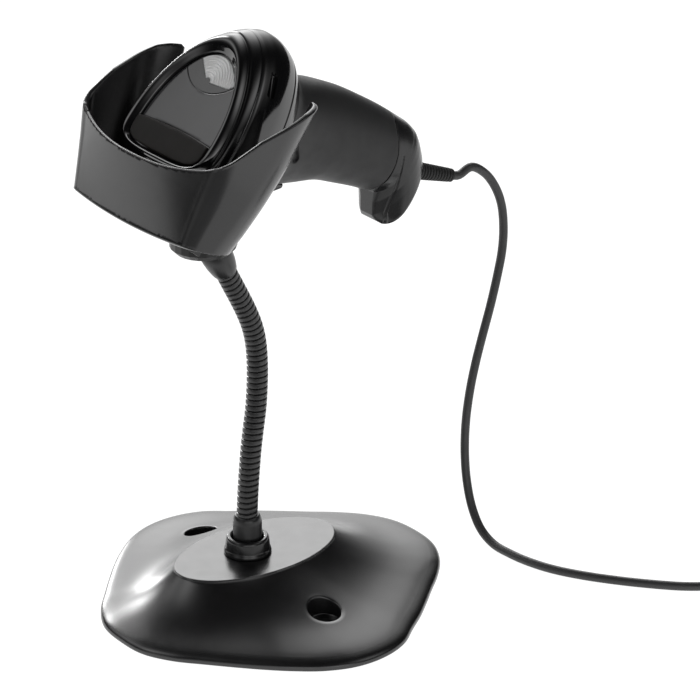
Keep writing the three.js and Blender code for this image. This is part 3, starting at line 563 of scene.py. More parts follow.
def ray_out(c, s):
    lo_, hi_ = np.full(np.shape(c), 20.0), np.full(np.shape(c), 110.0)
    for _ in range(40):
        r = (lo_ + hi_) / 2
        x, y = c * r, PY0 + s * r
        ok = np.hypot(x, y) < outline_r(np.degrees(np.arctan2(y, x)))
        lo_, hi_ = np.where(ok, r, lo_), np.where(ok, hi_, r)
    return lo_


def ray_in(c, s):
    return 1 / np.hypot(c / PA, s / PB)


def dome_z(x, y):
    c, s = np.asarray(x, float), np.asarray(y, float) - PY0
    r = np.maximum(np.hypot(c, s), 1e-6)
    c, s = c / r, s / r
    ri, ro = ray_in(c, s), ray_out(c, s)
    q_ = np.clip((r - ri) / (ro - ri), 0, 1)
    # a step down beside the plateau, a wide flange, and an edge that rolls over gently
    z = 7.4 + (PZT - 0.9 - 7.4) * (1 - q_) ** 2.0
    t = np.clip(1 - (ro - r) / 24, 0, 1)
    z = z - 5.2 * (1 - (1 - t ** 2.4) ** (1 / 2.4))
    flat = smooth(ri - r, -0.25, 0.05)
    return z * (1 - flat) + PZT * flat


NB = 300
tb = (np.arange(NB) + 0.5) * 2 * pi / NB
cb, sb = np.cos(tb), np.sin(tb)
rib, rob = ray_in(cb, sb), ray_out(cb, sb)
rob = np.minimum(rob, ray_out(cb, sb))


def base_ring(inset, z):
    r = rob - inset
    return np.stack([cb * r, PY0 + sb * r, np.broadcast_to(z, r.shape)], -1)


top_ring = base_ring(5.0, 0)
loops = [top_ring[:, :2]]
inner = []
for sx in (-1, 1):
    a = np.arange(72) * 2 * pi / 72
    loops.append(np.stack([sx * 50 + 8.6 * np.cos(a), -7.5 + 8.6 * np.sin(a)], -1))
    for r in (9.3, 10.4, 11.8):
        inner.append(np.stack([sx * 50 + r * np.cos(a), -7.5 + r * np.sin(a)], -1))
a = np.arange(72) * 2 * pi / 72
loops.append(np.stack([7.3 * np.cos(a), NECK_Y + 7.3 * np.sin(a)], -1))
for d in (-0.9, -0.3, -0.12, 0.0, 0.08, 0.16, 0.24, 0.4, 0.9, 1.7):
    inner.append(np.stack([cb * (rib + d), PY0 + sb * (rib + d)], -1))
near = np.concatenate(inner)
for k, u in enumerate(np.linspace(0.035, 0.985, 36)):
    r = rib + 1.7 + (rob - 5 - rib - 1.7) * u
    st = 2 if u < 0.3 else 1
    sel = slice(k % st, None, st)
    inner.append(np.stack([cb * r, PY0 + sb * r], -1)[sel])
for u in np.linspace(0.1, 0.93, 8):
    inner.append(np.stack([cb * rib * u, PY0 + sb * rib * u], -1)[:: 6 if u < 0.5 else 3])
ip = np.concatenate(inner)
ok = np.ones(len(ip), bool)
for sx in (-1, 1):
    d = np.hypot(ip[:, 0] - sx * 50, ip[:, 1] + 7.5)
    on = np.isclose(d, 9.3) | np.isclose(d, 10.4) | np.isclose(d, 11.8)
    ok &= (d > 12.4) | on
ip = ip[ok]
xy, tris = fill(loops, ip)
verts = [np.array([p[0], p[1], z]) for p, z in zip(xy, dome_z(xy[:, 0], xy[:, 1]))]
faces = list(tris)
n0 = len(loops[0])


def stitch(prev, ring):
    """Adds a ring of points joined to the ring of indices prev, and gives its indices."""
    k = len(verts)
    verts.extend(np.asarray(ring))
    new = list(range(k, k + len(ring)))
    n = len(ring)
    for i in range(n):
        faces.append((prev[i], prev[(i + 1) % n], new[(i + 1) % n], new[i]))
    return new


def skirt(rings, prev):
    for r in rings:
        prev = stitch(prev, r)
    return prev


ez = dome_z(top_ring[:, 0], top_ring[:, 1])
prof = [(i_, 1.0, -1) for i_ in (4.2, 3.4, 2.7, 2.1, 1.5, 1.0, 0.6, 0.3, 0.12, 0.03)] + [(0.0, 1.0, 1.65), (0.08, 1.0, 1.35), (0.35, 1.0, 1.0), (0.8, 1.0, 0.75), (1.6, 1.0, 0.7),
        (6.1, 1.0, 0.7), (6.2, 1.0, 0.8), (6.2, 1.0, 3.3), (6.3, 1.0, 3.4)]
edge_rings = []
for i_, _, z in prof:
    r_ = base_ring(i_, z)
    if z < 0:
        r_[:, 2] = dome_z(r_[:, 0], r_[:, 1])
    edge_rings.append(r_)
last = skirt(edge_rings, list(range(n0)))
bottom_outer = last
bores = []
st = n0
for k, sx in enumerate((-1, 1)):
    idx = list(range(st, st + 72))
    st += 72
    ring = []
    for r, dz in ((8.25, -0.1), (8.0, -0.32), (7.85, -0.7), (7.8, -1.3)):
        x, y = sx * 50 + r * np.cos(a), -7.5 + r * np.sin(a)
        ring.append(np.stack([x, y, dome_z(sx * 50 + 8.6 * np.cos(a), -7.5 + 8.6 * np.sin(a)) + dz], -1))
    for r, z in ((7.8, 7.0), (7.7, 6.5), (7.3, 6.2), (4.1, 6.2), (3.7, 6.05), (3.6, 5.7), (3.6, 3.4)):
        ring.append(np.stack([sx * 50 + r * np.cos(a), -7.5 + r * np.sin(a), np.full(72, z)], -1))
    bores.append(skirt(ring, idx))
idx = list(range(st, st + 72))
bores.append(skirt([np.stack([7.3 * np.cos(a), NECK_Y + 7.3 * np.sin(a), np.full(72, z)], -1) for z in (25.3, 3.4)], idx))
# flat underside between the skirt and the bores
bl = [np.array([verts[i][:2] for i in bottom_outer])] + [np.array([verts[i][:2] for i in b]) for b in bores]
gx, gy = np.meshgrid(np.arange(-80, 81, 8.0), np.arange(-80, 81, 8.0))
bxy, btris = fill(bl, np.stack([gx.ravel(), gy.ravel()], -1))
ids = bottom_outer + [i for b in bores for i in b]
for p in bxy[len(ids):]:
    ids.append(len(verts))
    verts.append(np.array([p[0], p[1], 3.4]))
faces += [tuple(ids[i] for i in t)[::-1] for t in btris]
base = piece("base_cover", verts, faces, body="base", mat=SATIN, slot="stand_satin", stands_for=("base_cover",), angle=50)

# collar and the smooth sleeve that the neck comes out of
prof = rounded([(7.35, 25.75), (11.35, 25.75), (11.35, 27.0), (10.75, 28.3), (10.2, 33.2), (9.6, 34.3), (8.2, 34.3), (7.35, 33.2), (7.35, 25.75)], 0.7, 5, closed=True)
piece("neck_collar", *lathe(prof, 96, (0, NECK_Y, 0)), body="base", mat=material("collar_gloss", (0.010, 0.010, 0.0105), 0.2, rough_var=0.04, grain_h=0), slot="fitting_satin", stands_for=("neck_collar",), angle=60)
prof = [(0, 14)] + rounded([(6.9, 14), (6.9, 42.0), (6.55, 43.9), (5.75, 45.4), (3.0, 45.4)], 0.6, 5) + [(0, 45.4)]
piece("neck_lower_fitting", *lathe(prof, 96, (0, NECK_Y, 0)), body="base", mat=FIT, slot="fitting_satin", stands_for=("neck_lower_fitting",), angle=50)

# ---------------------------------------------------------------- gooseneck
NECK = [[-15.2, 47], [-14.6, 57], [-13.7, 67.5], [-12.6, 78.2], [-11.1, 88.7], [-9.5, 99.1], [-8.6, 109.7], [-8.3, 120.5],
        [-8.9, 131.4], [-10.6, 140.2], [-13.6, 148.5], [-17.6, 157.1], [-21.6, 165], [-24.9, 171.5]]
neck_line, neck_len = resample(catmull([[0, y, z] for y, z in NECK], per=60), 0.1)
tdir = (neck_line[-1] - neck_line[-2]) / np.linalg.norm(neck_line[-1] - neck_line[-2])
bdir = (neck_line[0] - neck_line[1]) / np.linalg.norm(neck_line[1] - neck_line[0])
down = [neck_line[0] + bdir * d for d in np.arange(2.6, 0, -0.1)]
up = [neck_line[-1] + tdir * d for d in np.arange(0.1, 2.6, 0.1)]
nl = np.array(down + list(neck_line) + up)
d = np.append(0, np.cumsum(np.linalg.norm(np.diff(nl, axis=0), axis=1)))
s_all = np.arange(0, d[-1], 0.2)
nl = np.stack([np.interp(s_all, d, nl[:, k]) for k in range(3)], -1)
tt = np.gradient(nl, axis=0)
tt /= np.linalg.norm(tt, axis=1)[:, None]
SEG = 56
th = np.arange(SEG) * 2 * pi / SEG
nx = np.array([1.0, 0, 0])
PITCH = 2.9
rings = []
for c, t, s in zip(nl, tt, s_all):
    b = np.cross(t, nx)
    # wound wire: a round ridge with a narrow dark groove, one turn a pitch
    ph = (s / PITCH - th / (2 * pi)) % 1.0
    u = np.abs(ph - 0.5) * 2
    r = 5.05 - 0.14 * u**2 - 0.75 * smooth(u, 0.72, 0.97)
    rings.append(c + (r * np.cos(th))[:, None] * nx + (r * np.sin(th))[:, None] * b)
# pieces meet at the middle of each link
L = neck_len / 6
cuts = [0] + [int(round((2.6 + L * (i + 0.5)) / 0.2)) for i in range(6)] + [len(nl) - 1]
for i in range(7):
    a_, b_ = cuts[i], cuts[i + 1]
    o = piece(f"gooseneck_{i + 1}", *grid(rings[a_: b_ + 1]), mat=NECKM, slot="neck_black",
              stands_for=(f"neck_link_{i + 1}",) if i < 6 else (), angle=70)
    j = 2.6 + L * i
    k0, k1 = int(max(0, (j - L * 0.45) / 0.2)), int(min(len(nl) - 1, (j + L * 0.45) / 0.2))
    if i == 0:
        k0 = int(2.6 / 0.2) - 6
    if i == 6:
        k1 = int((2.6 + neck_len) / 0.2) + 6
    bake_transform(o)

# ---------------------------------------------------------------- cup
CUP_T = 2.5
CUPW = ([-49, -43.2, -31, -18, -6.9, 13, 28, 38, 50], [44.2, 45.8, 49.2, 53, 55.8, 59, 60.2, 60.6, 60.6])
BULGE = ([-49, -43.2, -18, -6.9, 50], [2.0, 2.6, 7.2, 9.2, 12])
RREAR = ([-49, -24, -8, 8, 24, 50], [18, 18, 19, 20, 21.5, 22])
RFRONT = ([-49, -43, -20, 50], [5, 5.5, 8.5, 9])


def cup_section(v, t):
    """Dense outline of the cup's wall at v, t inside its outer face, as x, n; starts at the front's left end."""
    W_ = float(pchip(*CUPW, v)) - t
    nf, nr = -4.3 + 0.4543 * (v + 43.2) - t, -34.2 + 0.138 * (v + 31) + t
    b = float(np.interp(v, *BULGE))
    rf, rr = float(np.interp(v, *RFRONT)) - t * 0.6, float(np.interp(v, *RREAR)) - t * 0.8
    xf = W_ - rf
    k = np.linspace(-1, 1, 120)
    xs, ns = [k * xf], [nf + b * (1 - k * k)]
    sl = math.atan2(2 * b, xf)            # slope where the bulged front meets the corner

    def arc(cx, cn, r, a0, a1, m=40):
        a = np.linspace(a0, a1, m)
        xs.append(cx + r * np.cos(a))
        ns.append(cn + r * np.sin(a))

    arc(xf, nf - rf, rf, pi / 2 - min(sl, 0.6), 0)
    arc(W_ - rr, nr + rr, rr, 0, -pi / 2)
    arc(-(W_ - rr), nr + rr, rr, -pi / 2, -pi)
    arc(-xf, nf - rf, rf, pi, pi / 2 + min(sl, 0.6))
    x, n = np.concatenate(xs), np.concatenate(ns)
    return np.append(x, x[0]), np.append(n, n[0])


VS = np.arange(-51, 51.01, 1.0)
NP = 1440


def key_params(v):
    """Outer and inner outline at v, with the same parameter from 0 to 1 round both, fixed to the corners."""
    x, n = cup_section(v, 0)
    xi, ni = cup_section(v, CUP_T)
    # parameter: arc length of the outer outline, symmetric; the inner one is indexed the same way
    d = np.append(0, np.cumsum(np.hypot(np.diff(x), np.diff(n))))
    u = d / d[-1]
    q_ = np.linspace(0, 1, NP + 1)
    return (np.interp(q_, u, x), np.interp(q_, u, n)), (np.interp(q_, u, xi), np.interp(q_, u, ni))


OUT, INN = [], []
for v_ in VS:
    a_, b_ = key_params(v_)
    OUT.append(a_)
    INN.append(b_)
OUT, INN = np.array(OUT), np.array(INN)      # [v, (x, n), param]


def wall(which, u, v):
    """Point of the wall's outer (0) or inner (1) face at the parameter u (0..1) and height v."""
    T = OUT if which == 0 else INN
    u, v = np.asarray(u, float) % 1.0, np.asarray(v, float)
    j = np.clip((v - VS[0]), 0, len(VS) - 1.000001)
    j0 = j.astype(int)
    fj = j - j0
    k = u * NP
    k0 = k.astype(int) % NP
    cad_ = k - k.astype(int)
    g = lambda jj, kk: T[jj, :, kk]
    p = ((g(j0, k0).T * (1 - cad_) + g(j0, k0 + 1).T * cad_) * (1 - fj) + (g(j0 + 1, k0).T * (1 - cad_) + g(j0 + 1, k0 + 1).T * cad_) * fj).T
    return np.stack([p[:, 0], v, p[:, 1]], -1)


RIM = np.array([[-8.3, 60], [-8.3, 12.4], [-8.0, 11.2], [-7.2, 10.55], [-5.0, 9.9], [-1.2, 8.4], [13.6, 1.8], [28.0, -7.8], [34.5, -12.4], [38.2, -16.4], [41.0, -20.4], [43.1, -24.8], [44.5, -29], [45.2, -32.5], [45.6, -36], [49, -60]])
NOTCH_X = [0, 26, 30, 33, 36, 38, 41.5, 43.8, 44.8, 45.0, 45.3]
NOTCH_V = [-22.4, -22.4, -21.6, -19.5, -16, -13, -2, 14, 36, 44, 70]


def rim_excess(p):
    """Above 0 where a point of the wall is past the rim."""
    x, v, n = p[:, 0], p[:, 1], p[:, 2]
    side = v - np.interp(-n, -RIM[1:-1, 1], RIM[1:-1, 0])
    side = np.where(n > 12.4, v + 8.3, side)
    k = np.clip(np.abs(x) / 50.5, 0, 1)
    front = np.where((n >= 2.0) & (np.abs(x) < 50.5), v - (-18.1 + 9.8 * k**2.3), -99)
    rear = np.where(n < -12, v - pchip(NOTCH_X, NOTCH_V, np.clip(np.abs(x), 0, 45.3)), -99)
    return np.maximum(np.maximum(side, front), rear)


def bottom_v(p):
    """Height of the bottom edge at a wall point's n."""
    lower = np.where(p[:, 2] > -12, 2.3 * np.clip(1 - (p[:, 0] / 42) ** 2, 0, 1), 0)
    return np.interp(-p[:, 2], [-60, 4.3, 20, 33.5, 45], [-50.1, -43.2, -38.2, -32.6, -30]) - lower


U = np.linspace(0, 1, 1441)[:-1]
top_v, bot_v = np.zeros(len(U)), np.zeros(len(U))
scan_v = np.arange(-46, 49.5, 0.25)
ex = np.stack([rim_excess(wall(0, U, np.full(len(U), vv))) for vv in scan_v])
for i in range(len(U)):
    past = np.nonzero(ex[:, i] > 0)[0]
    past = past[past > 20]
    if len(past) == 0:
        top_v[i] = 48.0
        continue
    k = past[0]
    e0, e1 = ex[k - 1, i], ex[k, i]
    top_v[i] = scan_v[k - 1] + 0.25 * (-e0 / (e1 - e0) if e1 > 0 > e0 and e0 > -50 else 0.5)
bot_v = np.full(len(U), -40.0)
for _ in range(12):
    bot_v = bottom_v(wall(0, U, bot_v))
# the ears' tips: soften the rim where it turns from the side into the notch
per = 1 / 1440


def arc_len(u, v):
    p = wall(0, u, v)
    p2 = np.roll(p, -1, axis=0)
    return np.linalg.norm(p2 - p, axis=1)


def contour(u, v, step):
    """Even points along a closed line on the wall, in (u, v)."""
    p = wall(0, u, v)
    seg = np.linalg.norm(np.roll(p, -1, axis=0) - p, axis=1)
    d = np.append(0, np.cumsum(seg))
    n = int(d[-1] / step)
    s = np.arange(n) / n * d[-1]
    uu, vv = np.append(u, u[0] + 1), np.append(v, v[0])
    return np.interp(s, d, uu) % 1.0, np.interp(s, d, vv)


def soften(v, times=3, w=0.25):
    for _ in range(times):
        v = (1 - 2 * w) * v + w * np.roll(v, 1) + w * np.roll(v, -1)
    return v


RIM_H = 1.15


def edge_line(v, sign, h):
    """The line moved down (sign 1) or up (-1) the wall by h, square to itself, so that the rounded edge ends on the true one."""
    p = wall(0, U, v)
    dv = (np.roll(v, -1) - np.roll(v, 1))
    q_ = wall(0, np.roll(U, -1), v)
    ds = np.linalg.norm(q_ - p, axis=1) * 2
    slope = dv / np.maximum(ds, 1e-6)
    return v - sign * h * np.sqrt(1 + np.minimum(slope**2, 60))


ru, rv = contour(U, soften(top_v, 6), 0.55)
bu, bv = contour(U, bot_v, 0.9)


def smooth_closed(P_, times=4):
    for _ in range(times):
        P_ = 0.5 * P_ + 0.25 * np.roll(P_, 1, axis=0) + 0.25 * np.roll(P_, -1, axis=0)
    return P_


# flat chart of the wall: s = u times a mean girth, so that the triangles come out even
G = 300.0


def chart(u, v):
    return np.stack([u * G, v], -1)


# the rim runs over u from 0 to 1; the wall is cut open at u = 0 (front, left corner side) and closed again by shared points
o_r = np.argsort(ru)
ru, rv = ru[o_r], rv[o_r]
o_b = np.argsort(bu)
bu, bv = bu[o_b], bv[o_b]
v_top0, v_bot0 = float(np.interp(0, U, soften(top_v, 6))), float(bot_v[0])


def wall_skin(which, h_top, h_bot):
    """The rim and bottom loops moved along the wall by the rounding heights h_top and h_bot, in (u, v)."""
    # move the loops in by the rounding
    def moved(u, v, sign, h):
        p = wall(0, u, v)
        e = np.roll(p, -1, axis=0) - np.roll(p, 1, axis=0)
        e /= np.linalg.norm(e, axis=1)[:, None]
        t1 = wall(0, u, v - 0.05 * sign) - p
        t1 /= np.linalg.norm(t1, axis=1)[:, None]
        side = t1 - e * (t1 * e).sum(1)[:, None]
        ln = np.linalg.norm(side, axis=1)
        side /= np.maximum(ln, 1e-6)[:, None]
        # in chart terms
        pu = wall(0, u + 1e-4, v) - p
        g_u = np.linalg.norm(pu, axis=1) / 1e-4
        du = (side * (pu / np.linalg.norm(pu, axis=1)[:, None])).sum(1) / g_u
        dv = (side * (-sign * t1)).sum(1)
        return u + du * h, v + dv * h, side

    tu, tv, _ = moved(ru, rv, 1, h_top)
    wu, wv, _ = moved(bu, bv, -1, h_bot)
    return tu, tv, wu, wv


tu, tv, wu, wv = wall_skin(0, RIM_H, 1.0)
nT, nBt = len(tu), len(wu)
seam = np.linspace(float(wv[0]), float(tv[0]), int((tv[0] - wv[0]) / 1.2) + 2)[1:-1]
su = np.linspace(min(tu[0], wu[0]), min(tu[0], wu[0]), len(seam))
u0 = 0.0
# outline of the cut-open chart: bottom from left to right, right seam, rim from right to left, left seam
loop = [(u0 * G, wv[0])] + [(wu[i] * G, wv[i]) for i in range(1, nBt)] + [((u0 + 1) * G, wv[0])]
loop += [((u0 + 1) * G, y) for y in seam]
loop += [((u0 + 1) * G, tv[0])] + [(tu[i] * G, tv[i]) for i in range(nT - 1, 0, -1)] + [(u0 * G, tv[0])]
loop += [(u0 * G, y) for y in seam[::-1]]
gu, gv = np.meshgrid(np.arange(0.6, G, 1.0), np.arange(-49, 49, 1.1))
gu = gu + 0.5 * (np.arange(gu.shape[0]) % 2)[:, None]
cxy, ctri = fill([loop], np.stack([gu.ravel(), gv.ravel()], -1))
nL = len(loop)
ns = len(seam)
# indices in the chart
bot_idx = [0] + list(range(1, nBt)) + [nBt]
right_seam = list(range(nBt + 1, nBt + 1 + ns))
top_right = nBt + 1 + ns
rim_rev = list(range(top_right + 1, top_right + nT))
top_left = top_right + nT
left_seam = list(range(top_left + 1, top_left + 1 + ns))
same = {nBt: 0, top_right: top_left}
for i, k in enumerate(right_seam):
    same[k] = left_seam[::-1][i]
remap = np.arange(len(cxy))
for k, w_ in same.items():
    remap[k] = w_
ctri = [tuple(remap[i] for i in t) for t in ctri]
rim_idx = [top_left] + rim_rev[::-1]             # rising u
bottom_idx = [0] + list(range(1, nBt))
uu, vv = cxy[:, 0] / G, cxy[:, 1]
Po, Pi = wall(0, uu, vv), wall(1, uu, vv)
verts = list(Po) + list(Pi)
nC = len(Po)
faces = [t for t in ctri] + [tuple(i + nC for i in t[::-1]) for t in ctri]


def round_edge(idx, h):
    """A rounded strip from the outer face's loop to the inner face's loop."""
    n = len(idx)
    Oe, Ie = Po[idx], Pi[idx]
    mid, half = (Oe + Ie) / 2, (Oe - Ie) / 2
    e = np.roll(mid, -1, axis=0) - np.roll(mid, 1, axis=0)
    e /= np.linalg.norm(e, axis=1)[:, None]
    out = np.cross(e, half)
    out /= np.linalg.norm(out, axis=1)[:, None]
    # away from the material
    ctr = wall(0, uu[idx], vv[idx] + (-1.0 if h > 0 else 1.0)) - Oe
    flip = np.sign(-(out * ctr).sum(1))
    flip = np.where(np.median(flip) > 0, 1, -1) * np.ones(n)
    out = smooth_closed(out * flip[:, None], 2)
    prev = list(idx)
    M = 8
    for k in range(1, M):
        f_ = pi * k / M
        # flatter than a half circle: small radii at both corners
        cx_ = np.sign(math.cos(f_)) * abs(math.cos(f_)) ** 0.75
        sy_ = abs(math.sin(f_)) ** 0.6
        ring = mid + half * cx_ + out * abs(h) * sy_
        k0 = len(verts)
        verts.extend(ring)
        new = list(range(k0, k0 + n))
        for i in range(n):
            faces.append((prev[i], prev[(i + 1) % n], new[(i + 1) % n], new[i]))
        prev = new
    new = [i + nC for i in idx]
    for i in range(n):
        faces.append((prev[i], prev[(i + 1) % n], new[(i + 1) % n], new[i]))


mark = len(faces)
round_edge(rim_idx, RIM_H)
round_edge(bottom_idx, -1.0)


def orient(name_faces, vs):
    import bmesh

    bm = bmesh.new()
    for p in vs:
        bm.verts.new(p)
    bm.verts.ensure_lookup_table()
    for f_ in name_faces:
        if len(set(f_)) == len(f_):
            try:
                bm.faces.new([bm.verts[int(i)] for i in f_])
            except ValueError:
                pass
    bmesh.ops.recalc_face_normals(bm, faces=bm.faces)
    loose = [x for x in bm.verts if not x.link_faces]
    bmesh.ops.delete(bm, geom=loose, context="VERTS")
    bm.verts.index_update()
    V = np.array([tuple(x.co) for x in bm.verts])
    F = [tuple(x.index for x in f_.verts) for f_ in bm.faces]
    bm.free()
    return V, F


V_, F_ = orient(faces, verts)
cup = piece("cup_shell", V_, F_, body="cup", mat=SATIN, slot="stand_satin", stands_for=("cup_shell",), angle=60, local=True)

# ---------------------------------------------------------------- scanner
HEAD = [[-2.9, -17, 52.5, 33.6, 0, 2.6, 1.75], [-3.9, -19.5, 53.8, 34.4, 0, 2.6, 1.78], [-6.5, -26.5, 56.6, 35.2, 0, 2.7, 1.82],
        [-10.5, -34, 59.2, 35.8, 0, 2.8, 1.86], [-14.5, -39.2, 61, 35.9, 0, 2.9, 1.9], [-20, -41, 61.6, 35.6, 0, 3, 1.92],
        [-26, -41, 60.8, 34.4, 0, 3, 1.94], [-28.3, -38.8, 60, 33.5, 1, 3, 1.96], [-29, -21, 59.7, 33.2, 4, 2.4, 1.96], [-36, -18.8, 55, 30.2, 6, 2.3, 2]]
GRIP = [[-36.3, -18, 53.2, 29.4, 6, 2.2, 2.05], [-40, -12, 53, 26.4, 12, 2.2, 2.1], [-45, -4.5, 54.4, 23.6, 18, 2.2, 2.2], [-51, 0.5, 56.9, 21.4, 24, 2.2, 2.3],
        [-59, 4.5, 59.6, 19.8, 30, 2.2, 2.3], [-69, 11, 62.5, 18.6, 36, 2.2, 2.3], [-82, 19.6, 65, 17.9, 42, 2.2, 2.3], [-94, 24.3, 66.9, 17.4, 46, 2.2, 2.3],
        [-107, 28.9, 68.2, 17, 49, 2.2, 2.3], [-112, 30.4, 68.6, 16.9, 48.5, 2.1, 2.3], [-116, 32, 68.3, 16.9, 48, 1.9, 2.3], [-117.5, 31, 68, 16.9, 47.5, 1.75, 2.3],
        [-121, 26.6, 66.6, 16.8, 46, 1.6, 2.2], [-125, 21.8, 64.4, 16.6, 43, 1.6, 2.1], [-127.5, 21, 62.8, 16.5, 40, 1.8, 2.1], [-130.2, 21.4, 60.8, 16.4, 37, 2.3, 2],
        [-131.2, 22.2, 60, 15.9, 36, 2.6, 2], [-131.6, 23.4, 58.6, 14.9, 36, 2.6, 2]]
HEADA, GRIPA = np.array(HEAD, float), np.array(GRIP, float)
NOSE_V = -38.2


def head_row(n):
    return pchip(HEADA[:, 0], HEADA[:, 1:], n)


def grip_row(n):
    n = np.asarray(n, float)
    lin = np.stack([np.interp(n, GRIPA[::-1, 0], GRIPA[::-1, k]) for k in range(1, 7)], -1)
    return np.where((n < -114)[..., None], lin, pchip(GRIPA[:, 0], GRIPA[:, 1:], n))


def ring_at(row, n, N=260, inset=0.0, even=True):
    x, v = (even_egg if even else egg)(row, N, inset)
    return np.stack([x, v, np.broadcast_to(n, x.shape)], -1)


# head shell
HN = np.concatenate([[-2.9, -3.0, -3.15, -3.35, -3.6], np.arange(-4, -26, -0.5), np.arange(-26, -29.4, -0.25), np.arange(-29.5, -35.0, -0.5), [-35.0, -35.3, -35.6, -35.8, -35.95]])
rings = []
for n in HN:
    row = head_row(n)
    ins = 0.0
    if n > -3.9:
        ins = 0.75 * (1 - math.sqrt(max(0, 1 - ((n + 3.9) / 1.0) ** 2)))
    if n < -35.0:
        ins = 0.8 * (1 - math.sqrt(max(0, 1 - ((-35.0 - n) / 0.96) ** 2)))
    # a shallow line that runs round the shell under its top edge
    ins += 0.42 * math.exp(-(((n + 7.6) / 0.45) ** 2))
    r = ring_at(row, n, 300, ins)
    dd = r[:, 1] - NOSE_V
    r[:, 1] = NOSE_V + 0.5 * (dd + np.sqrt(dd**2 + 0.7))
    rings.append(r)
hv, hf = grid(rings)
head = piece("head_shell", hv, hf, mat=GLOSS, slot="gloss_black", local=True, stands_for=("head_shell",), angle=45)
boxes = []


def block(x0, x1, y0, y1, z0, z1, bevel=0.6, rot=None, at=None):
    """Cutter in the scanner frame."""
    vs = [[x, y, z] for x in (x0, x1) for y in (y0, y1) for z in (z0, z1)]
    fs = [(0, 1, 3, 2), (4, 6, 7, 5), (0, 4, 5, 1), (2, 3, 7, 6), (0, 2, 6, 4), (1, 5, 7, 3)]
    vs = np.array(vs, float)
    if rot is not None:
        c, s = math.cos(rot), math.sin(rot)
        y, z = vs[:, 1].copy(), vs[:, 2].copy()
        vs[:, 1], vs[:, 2] = y * c - z * s, y * s + z * c
        vs[:, 1] += at[0]
        vs[:, 2] += at[1]
    o = piece("cutter", vs, fs, local=True)
    if bevel:
        m = o.modifiers.new("b", "BEVEL")
        m.width, m.segments = bevel * MM, 4
    return o


boolean(head, block(-18.5, 18.5, -60, -28.5, -25.6, -12.5, 2.4))


def block_at(centre, xdir, zdir, size, bevel):
    """Rounded cutter in the scanner frame, centred, with its x and z along the given directions."""
    X, Z = np.array(xdir, float), np.array(zdir, float)
    X /= np.linalg.norm(X)
    Z /= np.linalg.norm(Z)
    Y = np.cross(Z, X)
    vs = np.array([[x, y, z] for x in (-1, 1) for y in (-1, 1) for z in (-1, 1)], float) * np.array(size) / 2
    vs = vs[:, :1] * X + vs[:, 1:2] * Y + vs[:, 2:] * Z + np.array(centre)
    fs = [(0, 1, 3, 2), (4, 6, 7, 5), (0, 4, 5, 1), (2, 3, 7, 6), (0, 2, 6, 4), (1, 5, 7, 3)]
    o = piece("cutter", vs, fs, local=True)
    m = o.modifiers.new("b", "BEVEL")
    m.width, m.segments = bevel * MM, 5
    return o


for sx in (-1, 1):
    boolean(head, block_at((sx * 25.6, 39.6, -13.4), (sx * 0.557, -0.831, 0), (0, 0, 1), (12.6, 3.4, 4.0), 1.2))
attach(head, "scanner")

# top cover: a rounded ring round a shallow pocket
E0, E1 = np.array([-15.6, 52.4, 33.5, 0, 2.7, 1.72]), np.array([-11.9, 41.2, 27.0, 0, 4.4, 2.0])
prof = [(-0.10, -2.6), (-0.02, -2.35), (0.0, -2.15), (0.01, -1.8), (0.04, -1.3), (0.09, -0.7), (0.15, -0.05), (0.22, 0.55), (0.30, 1.05), (0.38, 1.36), (0.46, 1.5), (0.54, 1.42),
        (0.62, 1.15), (0.70, 0.75), (0.78, 0.3), (0.85, -0.12), (0.91, -0.45), (0.955, -0.72), (0.985, -0.92), (0.995, -1.1), (1.0, -1.4), (1.0, -3.5), (1.01, -3.55)]
rings = [ring_at(E0 + (E1 - E0) * f, n, 300) for f, n in prof]
cover = piece("head_top_cover", *grid(rings), body="scanner", mat=RING, slot="top_ring_gloss", local=True, stands_for=("head_top_cover",), angle=40)

E2 = np.array([-11.6, 40.9, 26.7, 0, 4.4, 2.0])
LENS_V, LENS_R = 47.0, 25.0


def arch(x, off):
    k = np.asarray(x) / 40
    return 0.5 + off - 3.08 * k * k + 1.4


def clipped(side, off, step=0.7):
    """Outline of the pocket on one side of the arch line: side 1 is towards the back."""
    x, v = even_egg(E2, 400)
    P_ = np.stack([x, v], -1)
    keep = (P_[:, 1] - arch(P_[:, 0], off)) * side > 0
    # rotate so that the kept run is contiguous
    k = [i for i in range(len(P_)) if keep[i] and not keep[i - 1]][0]
    P_ = np.roll(P_, -k, axis=0)
    keep = np.roll(keep, -k)
    run = P_[: int(keep.sum())]

    def cross(p, q):
        f = lambda z: z[1] - arch(z[0], off)
        t = f(p) / (f(p) - f(q))
        return p + (q - p) * t

    s_, e_ = cross(P_[-1], run[0]), cross(run[-1], P_[len(run)])
    n = int(abs(e_[0] - s_[0]) / step)
    xs = np.linspace(e_[0], s_[0], n + 1)
    return np.vstack([[s_], run, [e_], np.stack([xs[1:-1], arch(xs[1:-1], off)], -1)])


def shrink(loop, d):
    """The closed loop moved inwards by d."""
    p = np.asarray(loop)
    t = np.roll(p, -1, axis=0) - np.roll(p, 1, axis=0)
    t /= np.linalg.norm(t, axis=1)[:, None]
    n = np.stack([-t[:, 1], t[:, 0]], -1)
    area = 0.5 * np.sum(p[:, 0] * np.roll(p[:, 1], -1) - np.roll(p[:, 0], -1) * p[:, 1])
    return p + n * d * np.sign(area)


